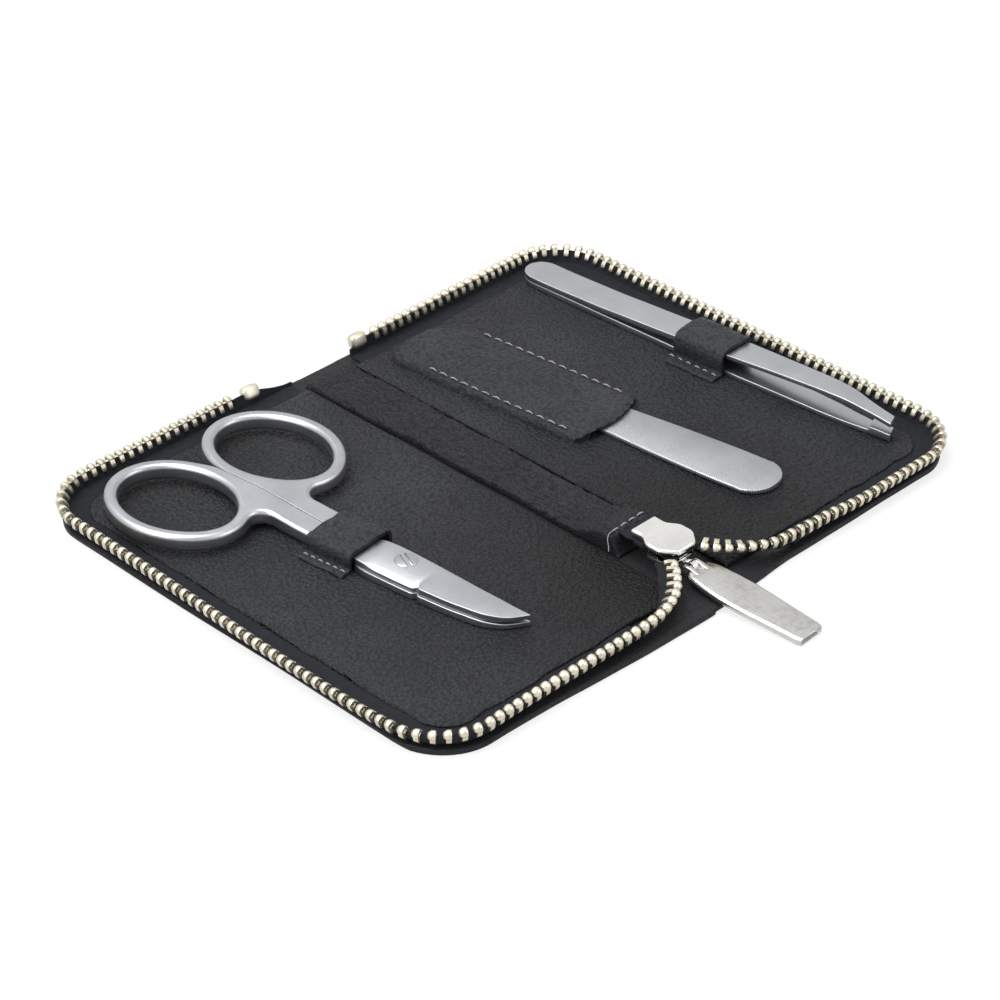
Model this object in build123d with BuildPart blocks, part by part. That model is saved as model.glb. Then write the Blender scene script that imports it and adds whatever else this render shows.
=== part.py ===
"""Zip-round manicure case lying open, with scissors, nail file and tweezers.

The case is two leather halves that fold up on either side of a spine.  A zip
chain stands round the rim of both halves and meets at a slider on the spine.
X runs across the spine, Y along it away from the slider, Z up.  The origin is
the middle of the spine on the table.  All sizes are in millimetres.
"""

import os
from math import cos, radians, sin

from build123d import *

# ---------------------------------------------------------------- case sizes
CASE_LENGTH = 115.0            # along the spine
HALF_WIDTH = 68.1              # fold line to outer edge of one half
SPINE_WIDTH = 11.6             # between the two fold lines
CORNER_RADIUS = 12.5
COVER_THICKNESS = 1.4          # outer leather
BOARD_THICKNESS = 0.6          # stiffener, and the tape hem beside it
LINING_THICKNESS = 0.4
LINING_INSET = 5.5             # lining edge behind the cover edge
FOLD_RELIEF = 1.4              # board and lining stay this far off the fold line
RIM_CHAMFER = 0.3              # turned edge of the cover

# ------------------------------------------------------------- zip tape sizes
CHAIN_INSET = 1.9              # foot of the tape wall behind the cover edge
TAPE_THICKNESS = 0.6
TAPE_TOP = 4.6                 # height of the tape's free edge
TAPE_LEAN = 21.0               # degrees that the wall leans outwards
LYING_FLAT = 90.0              # degrees that the tape leans inside the slider
HEM_WIDTH = 7.5                # tape that is sewn flat under the lining
TAPE_END_AT_SPINE = 2.4        # far tape end beside the fold line
BEND_START = 15.0              # where the front tape leaves the cover

# ---------------------------------------------------------------- tooth sizes
TOOTH_PITCH = 2.346
TOOTH_THICKNESS = 1.05         # along the chain
TOOTH_NIB_RADIUS = 0.7         # nib on the face away from the slider
TOOTH_NIB_HEIGHT = 0.6
TOOTH_NIB_RISE = 0.35          # nib centre above the head centre
TOOTH_NIB_TAPER = 25           # degrees
TOOTH_SOCKET_RADIUS = 0.6      # hollow in the face towards the slider
TOOTH_SOCKET_DEPTH = 0.35
TOOTH_WIDTH = 2.2              # across the tape
TOOTH_HEAD_RADIUS = 1.05
TOOTH_LEG = 1.75               # leg below the tape's free edge
TOOTH_NECK_WIDTH = 1.7
TAPE_TO_HEAD = 0.75            # tape edge to head centre
TOOTH_FLARE_ABOVE = 0.3        # the neck widens into the legs over this height
TOOTH_FLARE_BELOW = 0.4
TOOTH_CLEARANCE = 0.08         # tooth slot to tape, each side

# ----------------------------------------------------------------- zip stops
STOP_LENGTH = 4.2
STOP_WIDTH = 2.6
STOP_HEIGHT = 3.3
LEFT_STOP_AT = 10.6            # from the fold line to the stop's spine end
RIGHT_STOP_AT = 3.0
STOP_TO_TOOTH = 1.0

# -------------------------------------------------------------- spine strip
STRIP_HALF_WIDTH = 5.2
STRIP_CROWN_HALF_WIDTH = 4.3
STRIP_SHOULDER = 0.7           # height of the strip's upright edge
STRIP_BEVEL = 0.7              # shoulder to crown
STRIP_THICKNESS = 2.2
STRIP_NEAR_THICKNESS = 4.5     # the strip climbs over the tape end here
STRIP_NEAR_Y = -35.2
STRIP_CLIMB_Y = -22.0
STRIP_NEAR_CREST = 3.0         # flat top beside the slider
STRIP_FAR_Y = 53.5
STRIP_FAR_BEVEL = 2.0
STRIP_STITCHES = 3             # one row across the near end
STRIP_STITCH_PITCH = 2.4
STRIP_STITCH_LENGTH = 1.6
STRIP_STITCH_INSET = 1.6       # row to the strip's near edge

# ------------------------------------------------------------------- slider
SLIDER_TAIL_Y = -36.0
SLIDER_LENGTH = 11.2
SLIDER_TAIL_HALF = 3.15
SLIDER_SHOULDER_HALF = 4.65
SLIDER_WAIST = 2.9             # tail to waist
SLIDER_WAIST_FLARE = 0.2
SLIDER_SHOULDER_FROM = 5.0     # tail to first shoulder
SLIDER_SHOULDER_TO = 8.6       # tail to last shoulder
SLIDER_NOSE_HALF = 2.2
SLIDER_ROUNDING = 0.8
SLIDER_BASE = 3.9              # underside height
SLIDER_PLATE = 0.8
SLIDER_GAP = 1.6               # between the two plates
SLIDER_RIM = 0.55              # rim that guides the teeth
SLIDER_RIM_HEIGHT = 0.5
DIAMOND_HALF_WIDTH = 1.5
DIAMOND_LENGTH = 5.2
LOWER_TAPE_THICKNESS = 0.4
LOWER_TAPE_HALF_WIDTH = 4.3
LOWER_TAPE_CLEARANCE = 0.3     # to the slider's diamond
BOTTOM_STOP_LENGTH = 1.3
BOTTOM_STOP_HALF_WIDTH = 2.0

# ------------------------------------------------------- crown and pull tab
PIN_Y = -48.7
PIN_Z = 3.2
PIN_RADIUS = 0.6
PIN_CLEARANCE = 0.1            # pin in the crown's eye
CROWN_HALF_THICKNESS = 0.6
CROWN_EYE_RADIUS = 1.3
CROWN_ROOT_Y = -43.6
CROWN_ROOT_FRONT_Y = -46.6
TAB_LENGTH = 28.6              # pin to end
TAB_THICKNESS = 1.6
TAB_HALF_WIDTH = 3.6
TAB_NECK_HALF_WIDTH = 1.9
TAB_NECK_LENGTH = 3.8
TAB_SHOULDER_LENGTH = 1.8
TAB_EAR_GAP = 0.85             # middle to inner face of each ear
TAB_SLOT_LENGTH = 1.9
TAB_EAR_RADIUS = 1.1
TAB_SLOPE = 4.6                # degrees down to the table
TAB_YAW = 3.2                  # degrees off the spine line
PIN_IN_TAB_CLEARANCE = 0.02

# ------------------------------------------------------------- bend of chain
MOUTH_TOOTH_X = 3.2            # first tooth beside the slider mouth
MOUTH_TOOTH_Y = -48.3
MOUTH_DRIFT = 0.12             # sideways run of the chain as it enters the mouth
BEND_MIDDLE_X = 9.6
BEND_MIDDLE_Y = -54.6
BEND_SECTIONS = 8
BEND_TAPE_THICKNESS = 0.45     # the tape thins where it is bent
BEND_TAPE_WIDTH = 3.2          # tape below the heads in the bend

# ----------------------------------------------------------------- scissors
SCISSORS_TO_CHAIN = 33.4       # pivot screw to the foot of the zip wall
SCISSORS_Y = -10.9
SCISSORS_TURN = 6.8            # degrees off the spine line
TOOL_CLEARANCE = 0.1           # tools above the lining
BLADE_THICKNESS = 1.45
BLADE_CLEARANCE = 0.05         # between the two blades
BLADE_ROOT_LEFT = -5.7
BLADE_ROOT_RIGHT = 3.0
BLADE_ROOT_TOP = 8.0
BLADE_LENGTH = 28.9            # screw to tip
BLADE_TIP_ASIDE = 1.1          # the tip bends this far to the right
BLADE_BELLY_LEFT = 5.3         # two points on the curved cutting edge
BLADE_BELLY_DOWN = 17.0
BLADE_CURL_LEFT = 3.6
BLADE_CURL_DOWN = 23.8
BLADE_BACK_RIGHT = 2.0         # one point on the blade's back
BLADE_BACK_DOWN = 20.0
BLADE_TIP_SLOPE = -0.55        # slopes of the blade's two edges at the tip and root
BLADE_BACK_TIP_SLOPE = 0.35
BLADE_BACK_ROOT_SLOPE = 0.06
LAP_CLEARANCE = 0.8            # gap where the two halves swap levels
NICK_Y = -7.0
NICK_DEPTH = 0.9
NICK_LENGTH = 0.6
SHANK_WIDTH = 4.7
SHANK_TOP = 25.0
SEAM = 0.16                    # slit between the two shanks
RING_Y = 46.0
RING_RISE = 1.3                # one ring stands further out than the other
RING_HOLE_HALF_WIDTH = 9.0
RING_HOLE_HALF_LENGTH = 12.2
RING_BAR = 3.1
RING_ROUNDING = 0.9
RING_JOIN_TURN = -100          # degrees round the ring to where the shank flares in
SCREW_HEAD_RADIUS = 2.3
SCREW_HEAD_HEIGHT = 0.75
SCREW_SHAFT_RADIUS = 1.3
SCREW_CLEARANCE = 0.05
SCREW_SLOT_WIDTH = 0.5
SCREW_SLOT_DEPTH = 0.35
SCREW_SLOT_TURN = 60           # degrees

# ---------------------------------------------------------------- tool loops
LOOP_LEATHER = 0.9
LOOP_HEADROOM = 0.35           # above the tool
LOOP_STITCHES = 6
STITCH_LENGTH = 1.2
STITCH_WIDTH = 0.35
STITCH_HEIGHT = 0.25
SCISSORS_LOOP_LENGTH = 12.6
SCISSORS_LOOP_FROM = 8.6       # screw to the loop's near edge
SCISSORS_LOOP_LEFT = -7.0      # inside faces, across the scissors
SCISSORS_LOOP_RIGHT = 5.2
LOOP_FLANGE = 2.6

# ---------------------------------------------------------------- tweezers
TWEEZERS_TO_CHAIN = 13.6       # middle of the welded end to the foot of the zip wall
TWEEZERS_Y = 52.7
TWEEZERS_TURN = 2.1            # degrees off the spine line
TWEEZERS_LENGTH = 98.5
TWEEZERS_HALF_WIDTH = 3.9
TWEEZERS_TIP_HALF_WIDTH = 1.4
TWEEZERS_TAPER_FROM = 48.0     # back end to the start of the taper
TWEEZERS_TAPER_TO = 84.0
ARM_THICKNESS = 1.25
WELD_LENGTH = 12.0
ARM_GAP = 3.7                  # largest gap between the arms
ARM_GAP_AT = 84.0
LOOP_ARM_GAP = 2.45            # gap at the loop's near edge
TIP_GAP = 1.7
ARM_RISE = 0.03                # slope where the upper arm leaves the weld
ARM_FALL = -0.22               # slope at the tip
TIP_FLARE = 0.1                # sideways slope of the arm's edges at the tip
TWEEZERS_LOOP_LENGTH = 12.8
TWEEZERS_LOOP_FROM = 45.8      # back end to the loop's far edge
TWEEZERS_LOOP_HEADROOM = 0.9
TWEEZERS_LOOP_CLEARANCE = 0.6  # each side of the arms

# -------------------------------------------------------- file and pocket
FILE_ASIDE = 1.6               # file's middle off the middle of the pocket mouth
FILE_DOWN = 1.2
FILE_TURN = 7.0                # degrees off the spine line
FILE_THICKNESS = 1.0
FILE_BLADE_HALF = 6.1
FILE_MOUTH_HALF = 4.9
FILE_TAIL_HALF = 3.6
FILE_SHOWN = 39.2              # mouth to the rounded end
FILE_HIDDEN = 46.0             # inside the pocket
POCKET_SHARE = 0.2996          # middle of the mouth, as a share of the half's width
POCKET_Y = -0.8
POCKET_TURN = 5.4              # degrees off the spine line
POCKET_HALF_WIDTH = 10.2
POCKET_LENGTH = 51.0
POCKET_MOUTH_BULGE = 2.9
POCKET_CUT_ACROSS = 7.0        # the far outer corner is cut off
POCKET_CUT_ALONG = 7.0
POCKET_HEIGHT = 2.3
POCKET_CHAMFER = 1.0
POCKET_CORNER = 1.2
FILE_CLEARANCE = 0.5           # tunnel beside the file
FILE_HEADROOM = 0.2
POCKET_STITCH_INSET = 1.6
POCKET_STITCH_PITCH = 2.9
POCKET_STITCH_MARGIN = 3.0

# ---------------------------------------------------------------- derived
FOLD_X = SPINE_WIDTH / 2
INNER_FACE = COVER_THICKNESS
HEM_TOP = INNER_FACE + BOARD_THICKNESS
FLOOR = HEM_TOP + LINING_THICKNESS
CHAIN_X = FOLD_X + HALF_WIDTH - CHAIN_INSET
CHAIN_Y = CASE_LENGTH / 2 - CHAIN_INSET
CHAIN_RADIUS = CORNER_RADIUS - CHAIN_INSET
TOOL_BASE = FLOOR + TOOL_CLEARANCE
SCISSORS_X = SCISSORS_TO_CHAIN - CHAIN_X
TWEEZERS_X = CHAIN_X - TWEEZERS_TO_CHAIN
POCKET_X = FOLD_X + POCKET_SHARE * HALF_WIDTH
FILE_X = POCKET_X + FILE_ASIDE
FILE_Y = POCKET_Y - FILE_DOWN

os.makedirs("parts", exist_ok=True)


def finish(builder, name):
    """Label a finished piece and write its STEP file."""
    builder.part.label = name
    export_step(builder.part, f"parts/{name}.step")


def turned_plane(x, y, height, turn):
    """Return a level plane at (x, y, height) turned about Z by turn degrees."""
    across = (cos(radians(turn)), sin(radians(turn)), 0)
    return Plane(origin=(x, y, height), x_dir=across, z_dir=(0, 0, 1))


def draw_half(inset, start):
    """Draw the left half's outline, inset from its edge, from start off the fold."""
    inner_x = -(FOLD_X + start)
    outer_x = -(FOLD_X + HALF_WIDTH - inset)
    with Locations(((inner_x + outer_x) / 2, 0)):
        Rectangle(inner_x - outer_x, CASE_LENGTH - 2 * inset)
    fillet(vertices().group_by(Axis.X)[0], CORNER_RADIUS - inset)


def mirrored(source, name):
    """Write the right-hand copy of a left-hand piece."""
    with BuildPart() as copy:
        mirror(source.part, about=Plane.YZ)
    finish(copy, name)
    return copy


# ------------------------------------------------- covers, boards and linings
with BuildPart() as spine_cover:
    with BuildSketch():
        Rectangle(SPINE_WIDTH, CASE_LENGTH)
    extrude(amount=COVER_THICKNESS)
finish(spine_cover, "spine_cover")

with BuildPart() as left_cover:
    with BuildSketch():
        draw_half(0, 0)
    extrude(amount=COVER_THICKNESS)
    inner_rim = left_cover.faces().sort_by(Axis.Z)[-1].edges().sort_by(Axis.X)[:-1]
    chamfer(inner_rim, RIM_CHAMFER)
finish(left_cover, "left_cover")
right_cover = mirrored(left_cover, "right_cover")

with BuildPart() as left_board:
    with BuildSketch(Plane.XY.offset(INNER_FACE)):
        draw_half(CHAIN_INSET + HEM_WIDTH, FOLD_RELIEF)
    extrude(amount=BOARD_THICKNESS)
finish(left_board, "left_board")
right_board = mirrored(left_board, "right_board")

with BuildPart() as left_lining:
    with BuildSketch(Plane.XY.offset(HEM_TOP)):
        draw_half(LINING_INSET, FOLD_RELIEF)
    extrude(amount=LINING_THICKNESS)
finish(left_lining, "left_lining")
right_lining = mirrored(left_lining, "right_lining")

# ----------------------------------------------------------- the zip's tapes
with BuildLine() as rim_line:
    FilletPolyline(
        (-(FOLD_X + TAPE_END_AT_SPINE), CHAIN_Y),
        (-CHAIN_X, CHAIN_Y),
        (-CHAIN_X, -CHAIN_Y),
        (-(FOLD_X + BEND_START), -CHAIN_Y),
        radius=CHAIN_RADIUS,
    )
rim_wire = rim_line.wire()

LEAN_OUT = sin(radians(TAPE_LEAN)) / cos(radians(TAPE_LEAN)) * (TAPE_TOP - INNER_FACE)
with BuildPart() as left_zip_tape:
    tape_section = Plane(origin=rim_wire @ 0, x_dir=(0, 1, 0), z_dir=(1, 0, 0))
    with BuildSketch(tape_section):
        Polygon(
            (-HEM_WIDTH, INNER_FACE),
            (TAPE_THICKNESS / 2, INNER_FACE),
            (TAPE_THICKNESS / 2 + LEAN_OUT, TAPE_TOP),
            (-TAPE_THICKNESS / 2 + LEAN_OUT, TAPE_TOP),
            (-TAPE_THICKNESS / 2, HEM_TOP),
            (-HEM_WIDTH, HEM_TOP),
            align=None,
        )
    sweep(path=rim_wire)
finish(left_zip_tape, "left_zip_tape")
right_zip_tape = mirrored(left_zip_tape, "right_zip_tape")

# ------------------------------------------------------------- the zip's teeth
# A tooth is drawn about its head centre: legs hang along -Y, the tape between them.
with BuildPart() as tooth:
    slot_half = TAPE_THICKNESS / 2 + TOOTH_CLEARANCE
    slot_top = -TAPE_TO_HEAD + TOOTH_CLEARANCE
    leg_end = -TAPE_TO_HEAD - TOOTH_LEG
    with BuildSketch():
        Circle(TOOTH_HEAD_RADIUS)
        with Locations((0, slot_top / 2)):
            Rectangle(TOOTH_NECK_WIDTH, -slot_top)
        Polygon(
            (-TOOTH_NECK_WIDTH / 2, slot_top + TOOTH_FLARE_ABOVE),
            (-TOOTH_WIDTH / 2, slot_top - TOOTH_FLARE_BELOW),
            (-TOOTH_WIDTH / 2, leg_end),
            (TOOTH_WIDTH / 2, leg_end),
            (TOOTH_WIDTH / 2, slot_top - TOOTH_FLARE_BELOW),
            (TOOTH_NECK_WIDTH / 2, slot_top + TOOTH_FLARE_ABOVE),
            align=None,
        )
        with Locations((0, (slot_top + leg_end) / 2)):
            Rectangle(2 * slot_half, slot_top - leg_end, mode=Mode.SUBTRACT)
    extrude(amount=TOOTH_THICKNESS / 2, both=True)
    with BuildSketch(Plane.XY.offset(-TOOTH_THICKNESS / 2)):
        with Locations((0, TOOTH_NIB_RISE)):
            Circle(TOOTH_NIB_RADIUS)
    extrude(amount=-TOOTH_NIB_HEIGHT, taper=TOOTH_NIB_TAPER)
    with BuildSketch(Plane.XY.offset(TOOTH_THICKNESS / 2)):
        Circle(TOOTH_SOCKET_RADIUS)
    extrude(amount=-TOOTH_SOCKET_DEPTH, mode=Mode.SUBTRACT)


def tooth_plane(point, along, lean):
    """Return a tooth's plane: head centre at point, chain along, leaning out by lean."""
    along = Vector(*along).normalized()
    outwards = along.cross(Vector(0, 0, 1))
    rise = Vector(0, 0, 1) * cos(radians(lean)) + outwards * sin(radians(lean))
    return Plane(origin=point, x_dir=rise.cross(along), z_dir=along)


def head_point(base, along, lean):
    """Return the head centre above a point of the tape wall's foot."""
    outwards = Vector(*along).normalized().cross(Vector(0, 0, 1))
    height = TAPE_TOP + TAPE_TO_HEAD * cos(radians(lean))
    shift = LEAN_OUT + TAPE_TO_HEAD * sin(radians(lean))
    return Vector(base.X, base.Y, height) + outwards * shift


def rim_plane(distance):
    """Return the plane of a rim tooth at this distance along the tape's foot."""
    base = rim_wire.position_at(distance, position_mode=PositionMode.LENGTH)
    along = rim_wire.tangent_at(distance, position_mode=PositionMode.LENGTH)
    return tooth_plane(head_point(base, along, TAPE_LEAN), along, TAPE_LEAN)


def rim_tooth_planes(stop_at):
    """Return the planes of all rim teeth behind a stop that starts at stop_at."""
    first = stop_at + STOP_LENGTH + STOP_TO_TOOTH - TAPE_END_AT_SPINE
    count = int((rim_wire.length - first) / TOOTH_PITCH)
    last = rim_wire.length - TOOTH_PITCH / 2
    return [rim_plane(last - index * TOOTH_PITCH) for index in range(count)]


with BuildPart() as left_teeth:
    with Locations(*[plane.location for plane in rim_tooth_planes(LEFT_STOP_AT)]):
        add(tooth.part)
finish(left_teeth, "left_teeth")

with BuildPart() as right_teeth_on_left:
    with Locations(*[plane.location for plane in rim_tooth_planes(RIGHT_STOP_AT)]):
        add(tooth.part)
right_teeth = mirrored(right_teeth_on_left, "right_teeth")


def draw_stop():
    """Draw a top stop's cross-section: a clip whose slot grips the tape's free edge."""
    stop_middle = TOOTH_HEAD_RADIUS - STOP_HEIGHT / 2
    with Locations((0, stop_middle)):
        RectangleRounded(STOP_WIDTH, STOP_HEIGHT, TOOTH_HEAD_RADIUS / 2)
    slot_end = stop_middle - STOP_HEIGHT / 2
    with Locations((0, (slot_end + slot_top) / 2)):
        Rectangle(2 * slot_half, slot_top - slot_end, mode=Mode.SUBTRACT)


with BuildPart() as left_top_stop:
    with BuildSketch(rim_plane(LEFT_STOP_AT + STOP_LENGTH / 2 - TAPE_END_AT_SPINE)):
        draw_stop()
    extrude(amount=STOP_LENGTH / 2, both=True)
finish(left_top_stop, "left_top_stop")

with BuildPart() as right_top_stop_on_left:
    with BuildSketch(rim_plane(RIGHT_STOP_AT + STOP_LENGTH / 2 - TAPE_END_AT_SPINE)):
        draw_stop()
    extrude(amount=STOP_LENGTH / 2, both=True)
right_top_stop = mirrored(right_top_stop_on_left, "right_top_stop")

# --------------------------------- the chain's bend from the rim to the slider
rim_head = head_point(rim_wire @ 1, rim_wire % 1, TAPE_LEAN)
SLIDER_MIDDLE = SLIDER_BASE + SLIDER_PLATE + SLIDER_GAP / 2
with BuildLine() as bend_line:
    Spline(
        (rim_head.X, rim_head.Y),
        (-BEND_MIDDLE_X, BEND_MIDDLE_Y),
        (-MOUTH_TOOTH_X, MOUTH_TOOTH_Y),
        tangents=[(1, 0), (MOUTH_DRIFT, 1)],
    )
bend_wire = bend_line.wire()


def bend_plane(part_way):
    """Return the tooth plane part_way (0 rim, 1 slider) round the bend."""
    along = bend_wire.tangent_at(part_way)
    ease = part_way * part_way * (3 - 2 * part_way)
    flat = bend_wire.position_at(part_way)
    height = rim_head.Z + (SLIDER_MIDDLE - rim_head.Z) * ease
    lean = TAPE_LEAN + (LYING_FLAT - TAPE_LEAN) * ease
    return tooth_plane(Vector(flat.X, flat.Y, height), along, lean)


bend_count = round(bend_wire.length / TOOTH_PITCH)
with BuildPart() as left_bend_teeth:
    with Locations(*[bend_plane((index + 0.5) / bend_count).location for index in range(bend_count)]):
        add(tooth.part)
finish(left_bend_teeth, "left_bend_teeth")
right_bend_teeth = mirrored(left_bend_teeth, "right_bend_teeth")

with BuildPart() as left_bend_tape:
    for index in range(BEND_SECTIONS + 1):
        with BuildSketch(bend_plane(index / BEND_SECTIONS)):
            with Locations((0, -TAPE_TO_HEAD - BEND_TAPE_WIDTH / 2)):
                Rectangle(BEND_TAPE_THICKNESS, BEND_TAPE_WIDTH)
    loft()
finish(left_bend_tape, "left_bend_tape")
right_bend_tape = mirrored(left_bend_tape, "right_bend_tape")

# -------------------------------------------------------------- spine strip
with BuildPart() as spine_strip:
    with BuildSketch(Plane.XZ.offset(-STRIP_FAR_Y)):
        Polygon(
            (-STRIP_HALF_WIDTH, INNER_FACE),
            (STRIP_HALF_WIDTH, INNER_FACE),
            (STRIP_HALF_WIDTH, INNER_FACE + STRIP_SHOULDER),
            (STRIP_CROWN_HALF_WIDTH, INNER_FACE + STRIP_SHOULDER + STRIP_BEVEL),
            (STRIP_CROWN_HALF_WIDTH, INNER_FACE + STRIP_NEAR_THICKNESS),
            (-STRIP_CROWN_HALF_WIDTH, INNER_FACE + STRIP_NEAR_THICKNESS),
            (-STRIP_CROWN_HALF_WIDTH, INNER_FACE + STRIP_SHOULDER + STRIP_BEVEL),
            (-STRIP_HALF_WIDTH, INNER_FACE + STRIP_SHOULDER),
            align=None,
        )
    extrude(amount=STRIP_FAR_Y - STRIP_NEAR_Y)
    with BuildSketch(Plane.YZ):
        Polygon(
            (STRIP_NEAR_Y, INNER_FACE),
            (STRIP_FAR_Y, INNER_FACE),
            (STRIP_FAR_Y, INNER_FACE + STRIP_SHOULDER),
            (STRIP_FAR_Y - STRIP_FAR_BEVEL, INNER_FACE + STRIP_THICKNESS),
            (STRIP_CLIMB_Y, INNER_FACE + STRIP_THICKNESS),
            (STRIP_NEAR_Y + STRIP_NEAR_CREST, INNER_FACE + STRIP_NEAR_THICKNESS),
            (STRIP_NEAR_Y, INNER_FACE + STRIP_NEAR_THICKNESS),
            align=None,
        )
    extrude(amount=STRIP_HALF_WIDTH, both=True, mode=Mode.INTERSECT)
finish(spine_strip, "spine_strip")

with BuildPart() as spine_strip_stitches:
    with BuildSketch(Plane.XY.offset(INNER_FACE + STRIP_NEAR_THICKNESS)):
        with Locations((0, STRIP_NEAR_Y + STRIP_STITCH_INSET)):
            with GridLocations(STRIP_STITCH_PITCH, 0, STRIP_STITCHES, 1):
                Rectangle(STRIP_STITCH_LENGTH, STITCH_WIDTH)
    extrude(amount=STITCH_HEIGHT)
finish(spine_strip_stitches, "spine_strip_stitches")

# ------------------------------------------------------------------- slider
def draw_slider():
    """Draw the slider plate's outline."""
    with BuildLine() as outline:
        Polyline(
            (0, SLIDER_TAIL_Y),
            (SLIDER_TAIL_HALF, SLIDER_TAIL_Y),
            (SLIDER_TAIL_HALF + SLIDER_WAIST_FLARE, SLIDER_TAIL_Y - SLIDER_WAIST),
            (SLIDER_SHOULDER_HALF, SLIDER_TAIL_Y - SLIDER_SHOULDER_FROM),
            (SLIDER_SHOULDER_HALF, SLIDER_TAIL_Y - SLIDER_SHOULDER_TO),
            (SLIDER_NOSE_HALF, SLIDER_TAIL_Y - SLIDER_LENGTH),
            (0, SLIDER_TAIL_Y - SLIDER_LENGTH),
        )
        mirror(about=Plane.YZ)
    make_face(outline.edges())
    fillet(vertices().group_by(Axis.Y)[:-1], SLIDER_ROUNDING)


SLIDER_TOP_PLATE = SLIDER_BASE + SLIDER_PLATE + SLIDER_GAP
NOSE_Y = SLIDER_TAIL_Y - SLIDER_LENGTH
with BuildPart() as slider_body:
    for height in (SLIDER_BASE, SLIDER_TOP_PLATE):
        with BuildSketch(Plane.XY.offset(height)):
            draw_slider()
        extrude(amount=SLIDER_PLATE)
    # rims along the two sides keep the teeth in, with a slot between them for the tape
    for height in (SLIDER_BASE + SLIDER_PLATE, SLIDER_TOP_PLATE - SLIDER_RIM_HEIGHT):
        with BuildSketch(Plane.XY.offset(height)):
            draw_slider()
            offset(amount=-SLIDER_RIM, mode=Mode.SUBTRACT)
            with Locations((0, SLIDER_TAIL_Y - SLIDER_LENGTH)):
                Rectangle(2 * SLIDER_SHOULDER_HALF, 2 * (SLIDER_LENGTH - SLIDER_SHOULDER_TO),
                          mode=Mode.SUBTRACT)
            with Locations((0, SLIDER_TAIL_Y)):
                Rectangle(2 * (SLIDER_TAIL_HALF - SLIDER_RIM), 4 * SLIDER_RIM, mode=Mode.SUBTRACT)
        extrude(amount=SLIDER_RIM_HEIGHT)
    with BuildSketch(Plane.XY.offset(SLIDER_BASE + SLIDER_PLATE)):
        Polygon(
            (0, NOSE_Y + DIAMOND_LENGTH),
            (DIAMOND_HALF_WIDTH, NOSE_Y + DIAMOND_LENGTH / 3),
            (DIAMOND_HALF_WIDTH / 2, NOSE_Y + SLIDER_RIM / 2),
            (-DIAMOND_HALF_WIDTH / 2, NOSE_Y + SLIDER_RIM / 2),
            (-DIAMOND_HALF_WIDTH, NOSE_Y + DIAMOND_LENGTH / 3),
            align=None,
        )
    extrude(amount=SLIDER_GAP)
finish(slider_body, "slider_body")

with BuildPart() as slider_crown:
    with BuildSketch(Plane.YZ):
        with Locations((PIN_Y, PIN_Z)):
            Circle(CROWN_EYE_RADIUS)
        with BuildLine():
            Polyline(
                (CROWN_ROOT_Y, SLIDER_BASE),
                (CROWN_ROOT_FRONT_Y, SLIDER_BASE),
                (PIN_Y, PIN_Z + CROWN_EYE_RADIUS),
                (PIN_Y, PIN_Z - CROWN_EYE_RADIUS),
                (CROWN_ROOT_Y, SLIDER_BASE - SLIDER_PLATE),
                close=True,
            )
        make_face()
        with Locations((PIN_Y, PIN_Z)):
            Circle(PIN_RADIUS + PIN_CLEARANCE, mode=Mode.SUBTRACT)
    extrude(amount=CROWN_HALF_THICKNESS, both=True)
    # clear the underside of the slider's lower plate
    with BuildSketch(Plane.YZ):
        with Locations((CROWN_ROOT_Y + (NOSE_Y - CROWN_ROOT_Y) / 2, SLIDER_BASE + SLIDER_PLATE)):
            Rectangle(CROWN_ROOT_Y - NOSE_Y + 2 * PIN_CLEARANCE, 2 * SLIDER_PLATE)
    extrude(amount=CROWN_HALF_THICKNESS, both=True, mode=Mode.SUBTRACT)
finish(slider_crown, "slider_crown")

# ------------------------------------------- tape end and stop at the slider
with BuildPart() as bottom_tape:
    with BuildSketch(Plane.XY.offset(SLIDER_MIDDLE - LOWER_TAPE_THICKNESS / 2)):
        tape_length = STRIP_NEAR_Y - NOSE_Y
        with Locations((0, (STRIP_NEAR_Y + NOSE_Y) / 2)):
            Rectangle(2 * LOWER_TAPE_HALF_WIDTH, tape_length)
        with Locations((0, NOSE_Y + DIAMOND_LENGTH / 2)):
            Rectangle(2 * (DIAMOND_HALF_WIDTH + LOWER_TAPE_CLEARANCE),
                      DIAMOND_LENGTH + 2 * LOWER_TAPE_CLEARANCE, mode=Mode.SUBTRACT)
    extrude(amount=LOWER_TAPE_THICKNESS)
finish(bottom_tape, "bottom_tape")

with BuildPart() as bottom_stop:
    with BuildSketch(Plane.XY.offset(SLIDER_MIDDLE + LOWER_TAPE_THICKNESS / 2)):
        with Locations((0, SLIDER_TAIL_Y - BOTTOM_STOP_LENGTH)):
            Rectangle(2 * BOTTOM_STOP_HALF_WIDTH, BOTTOM_STOP_LENGTH)
    extrude(amount=(SLIDER_GAP - LOWER_TAPE_THICKNESS) / 2 - TOOL_CLEARANCE)
finish(bottom_stop, "bottom_stop")

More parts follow.
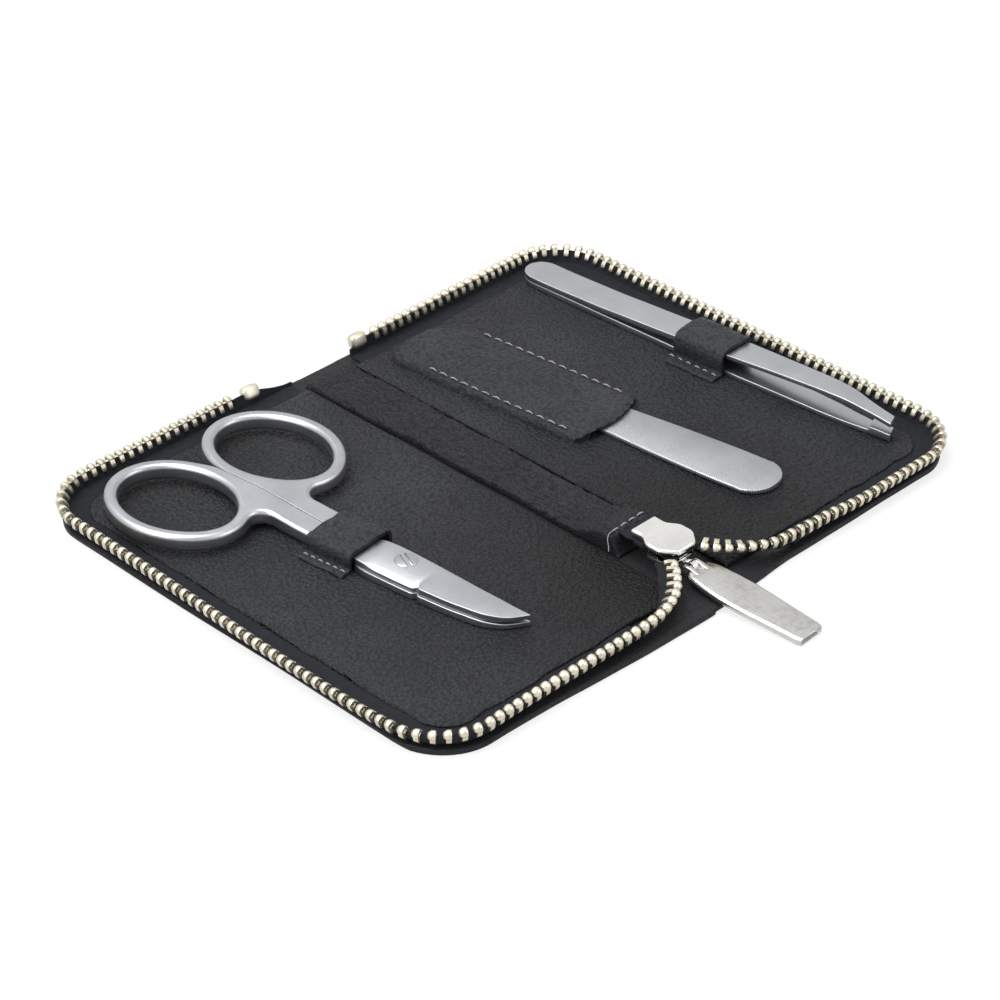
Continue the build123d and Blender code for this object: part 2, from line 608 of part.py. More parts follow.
# ------------------------------------------------------------------ pull tab
# The tab's own plane: X along the pin, -Y towards its end, sloping to the table.
tab_plane = Plane.XY.rotated((TAB_SLOPE, 0, TAB_YAW))
tab_plane.origin = (0, PIN_Y, PIN_Z)
with BuildPart() as pull_tab:
    with BuildSketch(tab_plane.offset(-TAB_THICKNESS / 2)):
        Polygon(
            (TAB_NECK_HALF_WIDTH, 0),
            (TAB_NECK_HALF_WIDTH, -TAB_NECK_LENGTH),
            (TAB_HALF_WIDTH, -TAB_NECK_LENGTH - TAB_SHOULDER_LENGTH),
            (TAB_HALF_WIDTH, -TAB_LENGTH),
            (-TAB_HALF_WIDTH, -TAB_LENGTH),
            (-TAB_HALF_WIDTH, -TAB_NECK_LENGTH - TAB_SHOULDER_LENGTH),
            (-TAB_NECK_HALF_WIDTH, -TAB_NECK_LENGTH),
            (-TAB_NECK_HALF_WIDTH, 0),
            align=None,
        )
    extrude(amount=TAB_THICKNESS)
    ear_plane = Plane(origin=tab_plane.origin, x_dir=tab_plane.y_dir, z_dir=tab_plane.x_dir)
    with BuildSketch(ear_plane):
        Circle(TAB_EAR_RADIUS)
    extrude(amount=TAB_NECK_HALF_WIDTH, both=True)
    with BuildSketch(tab_plane.offset(-TAB_EAR_RADIUS)):
        with Locations((0, TAB_EAR_RADIUS / 2 - TAB_SLOT_LENGTH / 2)):
            Rectangle(2 * TAB_EAR_GAP, TAB_EAR_RADIUS + TAB_SLOT_LENGTH + TAB_EAR_RADIUS)
    extrude(amount=2 * TAB_EAR_RADIUS, mode=Mode.SUBTRACT)
    with BuildSketch(ear_plane):
        Circle(PIN_RADIUS + PIN_IN_TAB_CLEARANCE)
    extrude(amount=TAB_NECK_HALF_WIDTH, both=True, mode=Mode.SUBTRACT)
finish(pull_tab, "pull_tab")

with BuildPart() as pull_tab_pin:
    with BuildSketch(ear_plane):
        Circle(PIN_RADIUS)
    extrude(amount=TAB_NECK_HALF_WIDTH, both=True)
finish(pull_tab_pin, "pull_tab_pin")

# ------------------------------------------------------------------ scissors
RING_X = RING_HOLE_HALF_WIDTH + RING_BAR + SEAM / 2
TOOL_HEIGHT = 2 * BLADE_THICKNESS + BLADE_CLEARANCE
UPPER_LEVEL = TOOL_BASE + BLADE_THICKNESS + BLADE_CLEARANCE


def scissors_plane(height):
    """Return the level plane through the scissors' screw line."""
    return turned_plane(SCISSORS_X, SCISSORS_Y, height, SCISSORS_TURN)


def draw_handle(side, rise, shank_from):
    """Draw a shank that flares into its finger ring, on side +1 or -1."""
    ring_y = RING_Y + rise
    outer_x = RING_HOLE_HALF_WIDTH + RING_BAR
    outer_y = RING_HOLE_HALF_LENGTH + RING_BAR
    seam_x = side * SEAM / 2
    shank_x = side * (SEAM / 2 + SHANK_WIDTH)
    joins = radians(RING_JOIN_TURN)
    join_point = (side * (RING_X + outer_x * cos(joins)), ring_y + outer_y * sin(joins))
    join_way = (side * -outer_x * sin(joins), outer_y * cos(joins))
    with BuildLine() as outline:
        Polyline((seam_x, ring_y), (seam_x, shank_from), (shank_x, shank_from), (shank_x, SHANK_TOP))
        Spline((shank_x, SHANK_TOP), join_point, tangents=[(0, 1), join_way])
        Polyline(join_point, (side * RING_X, ring_y), (seam_x, ring_y))
    make_face(outline.edges())
    with Locations((side * RING_X, ring_y)):
        Ellipse(outer_x, outer_y)
        Ellipse(RING_HOLE_HALF_WIDTH, RING_HOLE_HALF_LENGTH, mode=Mode.SUBTRACT)


def make_handle(side, rise):
    """Make a handle with rounded ring edges, solid through both levels."""
    with BuildPart() as handle:
        with BuildSketch(scissors_plane(TOOL_BASE)):
            draw_handle(side, rise, BLADE_ROOT_TOP)
        extrude(amount=TOOL_HEIGHT)
        fillet(handle.edges().filter_by(GeomType.ELLIPSE), RING_ROUNDING)
    return handle.part


def draw_blade(cutting_side):
    """Draw a curved nail blade with its root; the tip bends to the right."""
    with BuildLine() as outline:
        inset = NICK_DEPTH if cutting_side else 0
        edge_start = (BLADE_ROOT_LEFT + inset, NICK_Y - NICK_LENGTH)
        tip = (BLADE_TIP_ASIDE, -BLADE_LENGTH)
        Polyline((BLADE_ROOT_RIGHT, NICK_Y), (BLADE_ROOT_RIGHT, BLADE_ROOT_TOP),
                 (BLADE_ROOT_LEFT, BLADE_ROOT_TOP), (BLADE_ROOT_LEFT, NICK_Y), edge_start)
        Spline(edge_start, (inset - BLADE_BELLY_LEFT, -BLADE_BELLY_DOWN),
               (inset - BLADE_CURL_LEFT, -BLADE_CURL_DOWN), tip, tangents=[(0, -1), (1, BLADE_TIP_SLOPE)])
        Spline(tip, (BLADE_BACK_RIGHT, -BLADE_BACK_DOWN), (BLADE_ROOT_RIGHT, NICK_Y),
               tangents=[(BLADE_BACK_TIP_SLOPE, 1), (BLADE_BACK_ROOT_SLOPE, 1)])
    make_face(outline.edges())


with BuildPart() as scissors_lower_half:
    with BuildSketch(scissors_plane(TOOL_BASE)):
        draw_blade(False)
    extrude(amount=BLADE_THICKNESS)
    add(make_handle(1, -RING_RISE))
    with BuildSketch(scissors_plane(UPPER_LEVEL - BLADE_CLEARANCE)):
        with Locations((0, BLADE_ROOT_TOP + LAP_CLEARANCE / 2)):
            Rectangle(4 * SHANK_WIDTH, LAP_CLEARANCE)
    extrude(amount=BLADE_THICKNESS + BLADE_CLEARANCE, mode=Mode.SUBTRACT)
    with BuildSketch(scissors_plane(TOOL_BASE)):
        Circle(SCREW_SHAFT_RADIUS)
    extrude(amount=BLADE_THICKNESS, mode=Mode.SUBTRACT)
finish(scissors_lower_half, "scissors_lower_half")

with BuildPart() as scissors_upper_half:
    with BuildSketch(scissors_plane(UPPER_LEVEL)):
        draw_blade(True)
    extrude(amount=BLADE_THICKNESS)
    add(make_handle(-1, RING_RISE))
    with BuildSketch(scissors_plane(TOOL_BASE)):
        with Locations((0, BLADE_ROOT_TOP + LAP_CLEARANCE / 2)):
            Rectangle(4 * SHANK_WIDTH, LAP_CLEARANCE)
    extrude(amount=BLADE_THICKNESS + BLADE_CLEARANCE, mode=Mode.SUBTRACT)
    with BuildSketch(scissors_plane(UPPER_LEVEL)):
        Circle(SCREW_SHAFT_RADIUS + SCREW_CLEARANCE)
    extrude(amount=BLADE_THICKNESS, mode=Mode.SUBTRACT)
    with BuildSketch(scissors_plane(UPPER_LEVEL + BLADE_THICKNESS - SCREW_HEAD_HEIGHT)):
        Circle(SCREW_HEAD_RADIUS + SCREW_CLEARANCE)
    extrude(amount=SCREW_HEAD_HEIGHT, mode=Mode.SUBTRACT)
finish(scissors_upper_half, "scissors_upper_half")

with BuildPart() as scissors_screw:
    head_base = UPPER_LEVEL + BLADE_THICKNESS - SCREW_HEAD_HEIGHT + SCREW_CLEARANCE
    with BuildSketch(scissors_plane(TOOL_BASE)):
        Circle(SCREW_SHAFT_RADIUS)
    extrude(amount=head_base - TOOL_BASE)
    with BuildSketch(scissors_plane(head_base)):
        Circle(SCREW_HEAD_RADIUS)
    extrude(amount=SCREW_HEAD_HEIGHT)
    with BuildSketch(scissors_plane(head_base + SCREW_HEAD_HEIGHT - SCREW_SLOT_DEPTH)):
        with Locations(Location((0, 0), SCREW_SLOT_TURN)):
            Rectangle(2 * SCREW_HEAD_RADIUS, SCREW_SLOT_WIDTH)
    extrude(amount=SCREW_SLOT_DEPTH, mode=Mode.SUBTRACT)
finish(scissors_screw, "scissors_screw")

# ---------------------------------------------------------------- tool loops
def draw_loop(left, right, top):
    """Draw a loop's section: an arch over the tool with a sewn flange on the left."""
    outer_left = left - LOOP_LEATHER
    outer_right = right + LOOP_LEATHER
    outer_top = top + LOOP_LEATHER
    rounding = 2 * LOOP_LEATHER
    with Locations(((outer_left + outer_right) / 2, (FLOOR + outer_top) / 2)):
        Rectangle(outer_right - outer_left, outer_top - FLOOR)
    fillet(vertices().group_by(Axis.Y)[-1], rounding)
    with Locations((outer_left - LOOP_FLANGE / 2, FLOOR + LOOP_LEATHER / 2)):
        Rectangle(LOOP_FLANGE, LOOP_LEATHER)
    with Locations(((left + right) / 2, (FLOOR + top) / 2)):
        Rectangle(right - left, top - FLOOR, mode=Mode.SUBTRACT)


def loop_section_plane(tool_plane, along):
    """Return the upright plane across a tool at this distance along it."""
    start = tool_plane.from_local_coords((0, along, 0))
    return Plane(origin=(start.X, start.Y, 0), x_dir=tool_plane.x_dir, z_dir=-tool_plane.y_dir)


SCISSORS_LOOP_TOP = TOOL_BASE + TOOL_HEIGHT + LOOP_HEADROOM
with BuildPart() as scissors_loop:
    loop_end = SCISSORS_LOOP_FROM + SCISSORS_LOOP_LENGTH
    with BuildSketch(loop_section_plane(scissors_plane(0), loop_end)):
        draw_loop(SCISSORS_LOOP_LEFT, SCISSORS_LOOP_RIGHT, SCISSORS_LOOP_TOP)
    extrude(amount=SCISSORS_LOOP_LENGTH)
finish(scissors_loop, "scissors_loop")

with BuildPart() as scissors_loop_stitches:
    pitch = SCISSORS_LOOP_LENGTH / LOOP_STITCHES
    with BuildSketch(scissors_plane(FLOOR + LOOP_LEATHER)):
        flange_x = SCISSORS_LOOP_LEFT - LOOP_LEATHER - LOOP_FLANGE / 2
        with Locations((flange_x, SCISSORS_LOOP_FROM + SCISSORS_LOOP_LENGTH / 2)):
            with GridLocations(0, pitch, 1, LOOP_STITCHES):
                Rectangle(STITCH_WIDTH, STITCH_LENGTH)
    extrude(amount=STITCH_HEIGHT)
finish(scissors_loop_stitches, "scissors_loop_stitches")

# ------------------------------------------------------------------ tweezers
def tweezers_plane(height):
    """Return the level plane at the tweezers' back end; -Y runs to the tips."""
    return turned_plane(TWEEZERS_X, TWEEZERS_Y, height, TWEEZERS_TURN)


def draw_arm_plan():
    """Draw an arm from above: rounded back end, parallel body, tapered tip."""
    half = TWEEZERS_HALF_WIDTH
    tip = TWEEZERS_TIP_HALF_WIDTH
    with BuildLine() as outline:
        ThreePointArc((half, -half), (0, 0), (-half, -half))
        for side in (1, -1):
            Polyline((side * half, -half), (side * half, -TWEEZERS_TAPER_FROM))
            Spline((side * half, -TWEEZERS_TAPER_FROM), (side * tip * 2, -TWEEZERS_TAPER_TO),
                   (side * tip, -TWEEZERS_LENGTH), tangents=[(0, -1), (-side * TIP_FLARE, -1)])
        Polyline((tip, -TWEEZERS_LENGTH), (-tip, -TWEEZERS_LENGTH))
    make_face(outline.edges())


TWEEZERS_BODY_TOP = TOOL_BASE + 3 * ARM_THICKNESS + ARM_GAP  # clear of the bowed arm
side_view = Plane(
    origin=(TWEEZERS_X, TWEEZERS_Y, 0),
    x_dir=tweezers_plane(0).y_dir,
    z_dir=tweezers_plane(0).x_dir,
)
with BuildPart() as tweezers_lower_arm:
    with BuildSketch(tweezers_plane(TOOL_BASE)):
        draw_arm_plan()
    extrude(amount=ARM_THICKNESS)
finish(tweezers_lower_arm, "tweezers_lower_arm")

with BuildPart() as tweezers_upper_arm:
    with BuildSketch(tweezers_plane(TOOL_BASE)):
        draw_arm_plan()
    extrude(amount=TWEEZERS_BODY_TOP - TOOL_BASE)
    low = TOOL_BASE + ARM_THICKNESS
    loop_end = TWEEZERS_LOOP_FROM + TWEEZERS_LOOP_LENGTH
    with BuildSketch(side_view):
        with BuildLine():
            lower_curve = [(-WELD_LENGTH, low), (-loop_end, low + LOOP_ARM_GAP),
                           (-ARM_GAP_AT, low + ARM_GAP), (-TWEEZERS_LENGTH, low + TIP_GAP)]
            upper_curve = [(along, height + ARM_THICKNESS) for along, height in lower_curve]
            arm_slopes = [(-1, ARM_RISE), (-1, ARM_FALL)]
            Spline(*lower_curve, tangents=arm_slopes)
            Spline(*upper_curve, tangents=arm_slopes)
            Polyline(lower_curve[0], (0, low), (0, low + ARM_THICKNESS), upper_curve[0])
            Line(lower_curve[-1], upper_curve[-1])
        make_face()
    extrude(amount=TWEEZERS_HALF_WIDTH, both=True, mode=Mode.INTERSECT)
finish(tweezers_upper_arm, "tweezers_upper_arm")

TWEEZERS_LOOP_TOP = TOOL_BASE + 2 * ARM_THICKNESS + LOOP_ARM_GAP + TWEEZERS_LOOP_HEADROOM
TWEEZERS_LOOP_HALF = TWEEZERS_HALF_WIDTH + TWEEZERS_LOOP_CLEARANCE
with BuildPart() as tweezers_loop:
    with BuildSketch(loop_section_plane(tweezers_plane(0), -TWEEZERS_LOOP_FROM)):
        draw_loop(-TWEEZERS_LOOP_HALF, TWEEZERS_LOOP_HALF, TWEEZERS_LOOP_TOP)
    extrude(amount=TWEEZERS_LOOP_LENGTH)
finish(tweezers_loop, "tweezers_loop")

with BuildPart() as tweezers_loop_stitches:
    with BuildSketch(tweezers_plane(FLOOR + LOOP_LEATHER)):
        flange_x = -TWEEZERS_LOOP_HALF - LOOP_LEATHER - LOOP_FLANGE / 2
        with Locations((flange_x, -TWEEZERS_LOOP_FROM - TWEEZERS_LOOP_LENGTH / 2)):
            with GridLocations(0, TWEEZERS_LOOP_LENGTH / LOOP_STITCHES, 1, LOOP_STITCHES):
                Rectangle(STITCH_WIDTH, STITCH_LENGTH)
    extrude(amount=STITCH_HEIGHT)
finish(tweezers_loop_stitches, "tweezers_loop_stitches")

# ----------------------------------------------------------- file and pocket
def file_plane(height):
    """Return the level plane at the file's middle in the pocket mouth."""
    return turned_plane(FILE_X, FILE_Y, height, FILE_TURN)


def draw_file(extra):
    """Draw the file from above, wider by extra on each side."""
    blade = FILE_BLADE_HALF + extra
    mouth = FILE_MOUTH_HALF + extra
    tail = FILE_TAIL_HALF + extra
    with BuildLine() as outline:
        ThreePointArc((blade, -FILE_SHOWN + blade), (0, -FILE_SHOWN), (-blade, -FILE_SHOWN + blade))
        Polyline(
            (-blade, -FILE_SHOWN + blade),
            (-mouth, 0),
            (-tail, FILE_HIDDEN - tail),
        )
        ThreePointArc((-tail, FILE_HIDDEN - tail), (0, FILE_HIDDEN), (tail, FILE_HIDDEN - tail))
        Polyline((tail, FILE_HIDDEN - tail), (mouth, 0), (blade, -FILE_SHOWN + blade))
    make_face(outline.edges())


with BuildPart() as nail_file:
    with BuildSketch(file_plane(TOOL_BASE)):
        draw_file(0)
    extrude(amount=FILE_THICKNESS)
finish(nail_file, "nail_file")


def pocket_plane(height):
    """Return the level plane at the middle of the pocket's mouth."""
    return turned_plane(POCKET_X, POCKET_Y, height, POCKET_TURN)


with BuildPart() as file_pocket:
    with BuildSketch(pocket_plane(FLOOR)):
        with BuildLine():
            ThreePointArc((-POCKET_HALF_WIDTH, 0), (0, -POCKET_MOUTH_BULGE), (POCKET_HALF_WIDTH, 0))
            Polyline(
                (POCKET_HALF_WIDTH, 0),
                (POCKET_HALF_WIDTH, POCKET_LENGTH - POCKET_CUT_ALONG),
                (POCKET_HALF_WIDTH - POCKET_CUT_ACROSS, POCKET_LENGTH),
                (-POCKET_HALF_WIDTH, POCKET_LENGTH),
                (-POCKET_HALF_WIDTH, 0),
            )
        make_face()
        fillet(vertices().group_by(Axis.Y)[1:], POCKET_CORNER)
    extrude(amount=POCKET_HEIGHT)
    chamfer(faces().sort_by(Axis.Z)[-1].edges(), POCKET_CHAMFER)
    # the tunnel is as wide as the file at the mouth, and what lies inside is narrower
    with BuildSketch(file_plane(FLOOR)):
        tunnel_half = FILE_MOUTH_HALF + FILE_CLEARANCE
        tunnel_length = FILE_HIDDEN + FILE_CLEARANCE
        tunnel_start = -2 * POCKET_MOUTH_BULGE
        with Locations((0, (tunnel_length + tunnel_start) / 2)):
            Rectangle(2 * tunnel_half, tunnel_length - tunnel_start)
    extrude(amount=TOOL_CLEARANCE + FILE_THICKNESS + FILE_HEADROOM, mode=Mode.SUBTRACT)
finish(file_pocket, "file_pocket")

with BuildPart() as pocket_stitches:
    stitch_x = POCKET_HALF_WIDTH - POCKET_STITCH_INSET
    stitch_span = POCKET_LENGTH - POCKET_CUT_ALONG - 2 * POCKET_STITCH_MARGIN
    stitch_count = int(stitch_span / POCKET_STITCH_PITCH)
    with BuildSketch(pocket_plane(FLOOR + POCKET_HEIGHT)):
        with Locations((0, POCKET_STITCH_MARGIN + stitch_span / 2)):
            with GridLocations(2 * stitch_x, POCKET_STITCH_PITCH, 2, stitch_count):
                Rectangle(STITCH_WIDTH, STITCH_LENGTH)
    extrude(amount=STITCH_HEIGHT)
finish(pocket_stitches, "pocket_stitches")
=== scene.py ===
"""A zipped leather manicure case that lies open on a table: its leather, lining, zip, pull tab and steel tools."""

import bpy
import numpy as np
from bpy.props import FloatProperty, FloatVectorProperty, IntProperty, PointerProperty
from mathutils import Matrix


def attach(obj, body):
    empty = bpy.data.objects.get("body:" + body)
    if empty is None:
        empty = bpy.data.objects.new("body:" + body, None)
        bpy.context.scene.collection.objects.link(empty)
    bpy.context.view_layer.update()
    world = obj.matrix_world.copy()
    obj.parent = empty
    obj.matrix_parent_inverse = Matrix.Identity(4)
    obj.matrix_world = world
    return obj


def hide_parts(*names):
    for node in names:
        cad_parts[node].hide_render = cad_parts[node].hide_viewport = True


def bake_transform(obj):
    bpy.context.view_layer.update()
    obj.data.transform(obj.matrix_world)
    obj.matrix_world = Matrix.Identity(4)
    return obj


bl_info = {
    "name": "Manicure case",
    "version": (1, 0, 0),
    "blender": (4, 5, 0),
    "location": "View3D > Sidebar > Manicure case",
    "description": "Makes the leather, zip and steel tools of an open manicure case",
    "category": "Add Mesh",
}

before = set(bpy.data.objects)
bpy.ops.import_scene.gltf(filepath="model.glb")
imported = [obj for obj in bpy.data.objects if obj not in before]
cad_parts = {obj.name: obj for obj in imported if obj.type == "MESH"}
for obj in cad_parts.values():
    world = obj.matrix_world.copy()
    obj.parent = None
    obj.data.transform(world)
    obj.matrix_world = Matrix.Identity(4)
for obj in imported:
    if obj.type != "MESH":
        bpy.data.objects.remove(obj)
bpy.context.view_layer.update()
MM = 0.001
TURN = 2 * np.pi
QUARTER = TURN / 4
SIDES = ((-1, "left"), (1, "right"))

# Sizes and places that pieces share, in millimetres.
FOLD_X = 5.8
SPINE_EDGES = (5.1, 6.5)  # the leather bends between these two lines
COVER_EDGE = (73.9, 57.5)
COVER_CORNER = 12.5
COVER_TOP = 1.4
LINING_EDGE = (68.4, 52.0)
LINING_CORNER = 7.0
LINING_TOP = 2.4
TOOL_BASE = 2.5  # height at which the tools lie
WALL_X, WALL_Y, WALL_CORNER = 72.0, 55.6, 10.6  # foot line of the zip wall
WALL_STARTS = 8.2
WALL_ENDS = 20.8
WALL_HEIGHT = 3.4
HEAD_FROM_FOOT = 3.8  # a tooth's centre, measured up the wall
STOP_STARTS = {-1: 10.6, 1: 3.0}  # how far past the fold each top stop begins
STOP_LENGTH = 4.2
BEND_FOLD = ((4.5, -48.5, 5.0), (13.0, -55.0, 5.0))  # the zip's free ends turn between these two points
PLATE_LOW, PLATE_HIGH = 4.6, 6.4  # inner faces of the slider's two plates
BLADE_TIP = -28.9
TAB_LENGTH = 28.6
TAB_HALF = 3.6
FILE_HALF, FILE_ROUND, FILE_END = 6.05, 5.8, 39.7
# Place and turn of each tool's own axes.
SCISSORS = ((-38.6, -10.9), 6.8)
TWEEZERS = ((58.4, 52.7), 2.1)
FILE = ((27.8, -2.0), 7.0)
POCKET = ((26.2, -0.8), 5.4)
TAB = ((0.0, -48.7), 3.2)
TAB_SLOPE = 4.6
PIN_HEIGHT = 3.2


def linear(red, green, blue):
    """A screen colour of 0 to 255 as the linear colour that a shader takes."""
    c = np.array((red, green, blue)) / 255
    return tuple(float(v) for v in np.where(c <= 0.04045, c / 12.92, ((c + 0.055) / 1.055) ** 2.4))


def colour(name, description, *screen):
    """A colour setting in the sidebar."""
    value = linear(*screen)
    return FloatVectorProperty(name=name, description=description, default=value, subtype="COLOR", min=0.0, max=1.0)


def size(name, description, value, kind="LENGTH"):
    """A setting in metres in the sidebar, or an angle in radians."""
    kind = {"subtype": kind} if kind == "ANGLE" else {"unit": kind}
    return FloatProperty(name=name, description=description, default=value, **kind)


class LeatherSettings(bpy.types.PropertyGroup):
    cover: colour("Cover", "Outer leather", 36, 36, 39)
    lining: colour("Lining", "Smooth leather inside the case", 47, 48, 51)
    strap: colour("Loops and pocket", "Leather that holds the tools", 48, 49, 52)
    thread: colour("Thread", "Sewing thread", 84, 84, 88)
    grain: size("Grain", "Width of one pebble of the leather", 0.0008)
    ridge_pitch: size("Ridge spacing", "Distance between the ridges of the strip", 0.00125)
    ridge_height: size("Ridge height", "Height of the ridges of the strip", 0.0006)


class ZipSettings(bpy.types.PropertyGroup):
    tape: colour("Tape", "Woven zip tape", 25, 27, 32)
    metal: colour("Teeth", "Metal of the teeth and stops", 205, 198, 180)
    polished: colour("Slider and tab", "Polished metal", 226, 225, 222)
    pitch: size("Tooth spacing", "Distance between two teeth of one side", 0.002346)
    thickness: size("Tooth thickness", "Size of one tooth along the chain", 0.00105)
    sides: IntProperty(name="Tooth sides", description="Faces round one tooth head", default=10, min=6, max=16)


class ToolSettings(bpy.types.PropertyGroup):
    steel: colour("Steel", "Satin steel of the tools", 168, 170, 174)
    blade: colour("Ground steel", "Brighter steel of the screw and the file", 164, 166, 169)
    file_cut: size("File cut", "Distance between the cuts of the file", 0.0005)


class StageSettings(bpy.types.PropertyGroup):
    azimuth: size("Azimuth", "Camera's turn round the case", np.radians(-44.449), "ANGLE")
    elevation: size("Elevation", "Camera's height angle", np.radians(33.742), "ANGLE")
    roll: size("Roll", "Camera's tilt", np.radians(-0.542), "ANGLE")
    distance: size("Distance", "Camera to its target", 0.63735)
    lens: FloatProperty(name="Lens", description="Focal length in millimetres", default=116.39, min=10.0)
    target: FloatVectorProperty(
        name="Target",
        description="Point that the camera looks at",
        default=(-0.00602, -0.00315, 0.0),
        subtype="TRANSLATION",
    )
    floor: colour("Floor", "Table top", 250, 250, 250)


# ---------------------------------------------------------------- shapes


def ease(value, start, end):
    """0 before start, 1 after end, and a smooth cubic between them."""
    t = np.clip((value - start) / (end - start), 0, 1)
    return t * t * (3 - 2 * t)


def curve(value, knots):
    """A smooth line through the knots: a cubic between each two, whose slopes are the mean slopes at the knots."""
    x, y = np.array(knots, float).T
    slope = np.gradient(y, x)
    i = np.clip(np.searchsorted(x, value) - 1, 0, len(x) - 2)
    gap = x[i + 1] - x[i]
    t = np.clip((value - x[i]) / gap, 0, 1)
    start = (2 * t**3 - 3 * t**2 + 1) * y[i] + (t**3 - 2 * t**2 + t) * gap * slope[i]
    return start + (3 * t**2 - 2 * t**3) * y[i + 1] + (t**3 - t**2) * gap * slope[i + 1]


def xyz(x, y, z):
    """Points from three arrays of any matching shapes."""
    return np.stack(np.broadcast_arrays(x, y, z), -1).astype(float)


def unit(vectors):
    """Vectors divided by their lengths."""
    return vectors / np.linalg.norm(vectors, axis=-1, keepdims=True)


def lengths(line):
    """Distance of each point from the first, along the line."""
    return np.r_[0, np.cumsum(np.linalg.norm(np.diff(line, axis=0), axis=1))]


def read(steps, at, line):
    """The line's points at the given distances along it."""
    return np.column_stack([np.interp(steps, at, c) for c in line.T])


def even(points, count, closed=False):
    """The line through the points, read at even steps of its length."""
    line = np.vstack((points, points[:1])) if closed else np.asarray(points, float)
    at = lengths(line)
    return read(np.linspace(0, at[-1], count + closed)[:count], at, line)


def rounded(corners, cut, steps=7):
    """A closed outline whose corners are rounded: each is a parabola from cut before it to cut after it."""
    p = np.array(corners, float)
    cut = np.broadcast_to(np.asarray(cut, float), len(p))[:, None]
    a = p + unit(np.roll(p, 1, 0) - p) * cut
    b = p + unit(np.roll(p, -1, 0) - p) * cut
    t = np.linspace(0, 1, steps)[None, :, None]
    return ((1 - t) ** 2 * a[:, None] + 2 * t * (1 - t) * p[:, None] + t**2 * b[:, None]).reshape(-1, 2)


def inset(outline, amount):
    """A closed anticlockwise outline moved inwards, with mitred corners."""
    edge = np.roll(outline, -1, 0) - outline
    side = unit(np.column_stack((-edge[:, 1], edge[:, 0])))
    last = np.roll(side, 1, 0)
    return outline + amount * (side + last) / (1 + np.sum(side * last, axis=1, keepdims=True))


def grid(rows, cols):
    """The four-sided faces of a grid of points whose columns close on themselves."""
    index = np.arange(rows * cols).reshape(rows, cols)
    across = np.roll(index, -1, 1)
    return np.stack((index[:-1], across[:-1], across[1:], index[1:]), -1).reshape(-1, 4)


def loft(points):
    """A closed skin over rows of closed sections; the first and last section are filled flat."""
    rows, cols = points.shape[:2]
    ends = np.stack((np.arange(cols)[::-1], np.arange(cols) + (rows - 1) * cols))
    return points.reshape(-1, 3), [grid(rows, cols), ends]


def plate(outline, profile):
    """A flat piece with shaped edges: its outline is repeated at each inset and height of the profile."""
    return loft(np.stack([xyz(*inset(outline, i).T, z) for i, z in profile]))


def volume(points, faces):
    """Six times the space inside: triple products of every face, cut into a fan from its first corner."""
    return sum(
        np.einsum("ij,ikj->", points[f[:, 0]], np.cross(points[f[:, 1:-1]], points[f[:, 2:]])) for f in faces
    )


def repeat(part, points):
    """Copies of one part, whose points are given for all copies at once."""
    steps = np.arange(len(points)) * points.shape[1]
    return points.reshape(-1, 3), [(f[None] + steps[:, None, None]).reshape(-1, f.shape[1]) for f in part[1]]


def place(points, where):
    """Points of a tool's own axes, turned and moved to its place in the case."""
    (x, y), turn = where
    c, s = np.cos(np.radians(turn)), np.sin(np.radians(turn))
    px, py = points[..., 0], points[..., 1]
    return np.stack((x + px * c - py * s, y + px * s + py * c, points[..., 2]), -1)


def bar(along, low, high, bottom, top, rounding, steps=4, facet=0.0):
    """A long solid: at each step along y a rounded rectangle from low to high across and from bottom to top.
    A facet slopes the upper edge of its low side."""
    given = (low, high, bottom, top, rounding, facet)
    low, high, bottom, top, r, facet = (np.broadcast_to(np.asarray(v, float), len(along))[:, None] for v in given)
    r = np.minimum(r, np.minimum((high - low) * 0.49, (top - bottom) * 0.49))
    a = np.linspace(0, QUARTER, steps)[None]
    s, c, part = r * np.sin(a), r * np.cos(a), a / QUARTER
    x = np.concatenate((high - r + s, high - r + c, low + r - s + facet * (1 - part), low + r - c), 1)
    z = np.concatenate((bottom + r - c, top - r + s, top - r + c - facet * 0.45 * part, bottom + r - s), 1)
    return xyz(x, np.asarray(along, float)[:, None], z)


def pebble(half, power, rows=12, cols=16):
    """A rounded box: a sphere whose sines and cosines are raised to less than one."""
    v = np.linspace(0.08 - QUARTER, QUARTER - 0.08, rows)[:, None]
    u = np.linspace(0, TURN, cols, endpoint=False)[None]
    flat = lambda value: np.sign(value) * np.abs(value) ** (2 / power)
    return loft(xyz(flat(np.cos(v)) * flat(np.cos(u)), flat(np.cos(v)) * flat(np.sin(u)), flat(np.sin(v))) * half)


def tube(points, radius, sides=6):
    """A round cord along each given line: circles across it, in a level and a steep direction."""
    along = unit(np.gradient(points, axis=-2))
    level = unit(np.cross(along, (0.0, 0.0, 1.0)) + 1e-9)
    steep = np.cross(level, along)
    a = np.linspace(0, TURN, sides, endpoint=False)[:, None]
    ring = np.cos(a) * level[..., None, :] + np.sin(a) * steep[..., None, :]
    return points[..., None, :] + np.asarray(radius, float)[..., None, None] * ring


def stitches(starts, step, where=None, radius=0.15, rise=0.24):
    """Short threads of one step from each start: each rises out of the leather in an arc and dips back in."""
    ends = starts + np.array(step)
    if where:
        starts, ends = place(starts, where), place(ends, where)
    t = np.linspace(0, 1, 7)
    arc = np.sin(np.pi * t)
    lines = starts[:, None] + (ends - starts)[:, None] * t[None, :, None]
    lines[..., 2] += rise * arc - 0.12
    rings = tube(lines, np.broadcast_to(radius * (0.55 + 0.45 * arc), lines.shape[:2]))
    return repeat(loft(rings[0]), rings.reshape(len(starts), -1, 3))


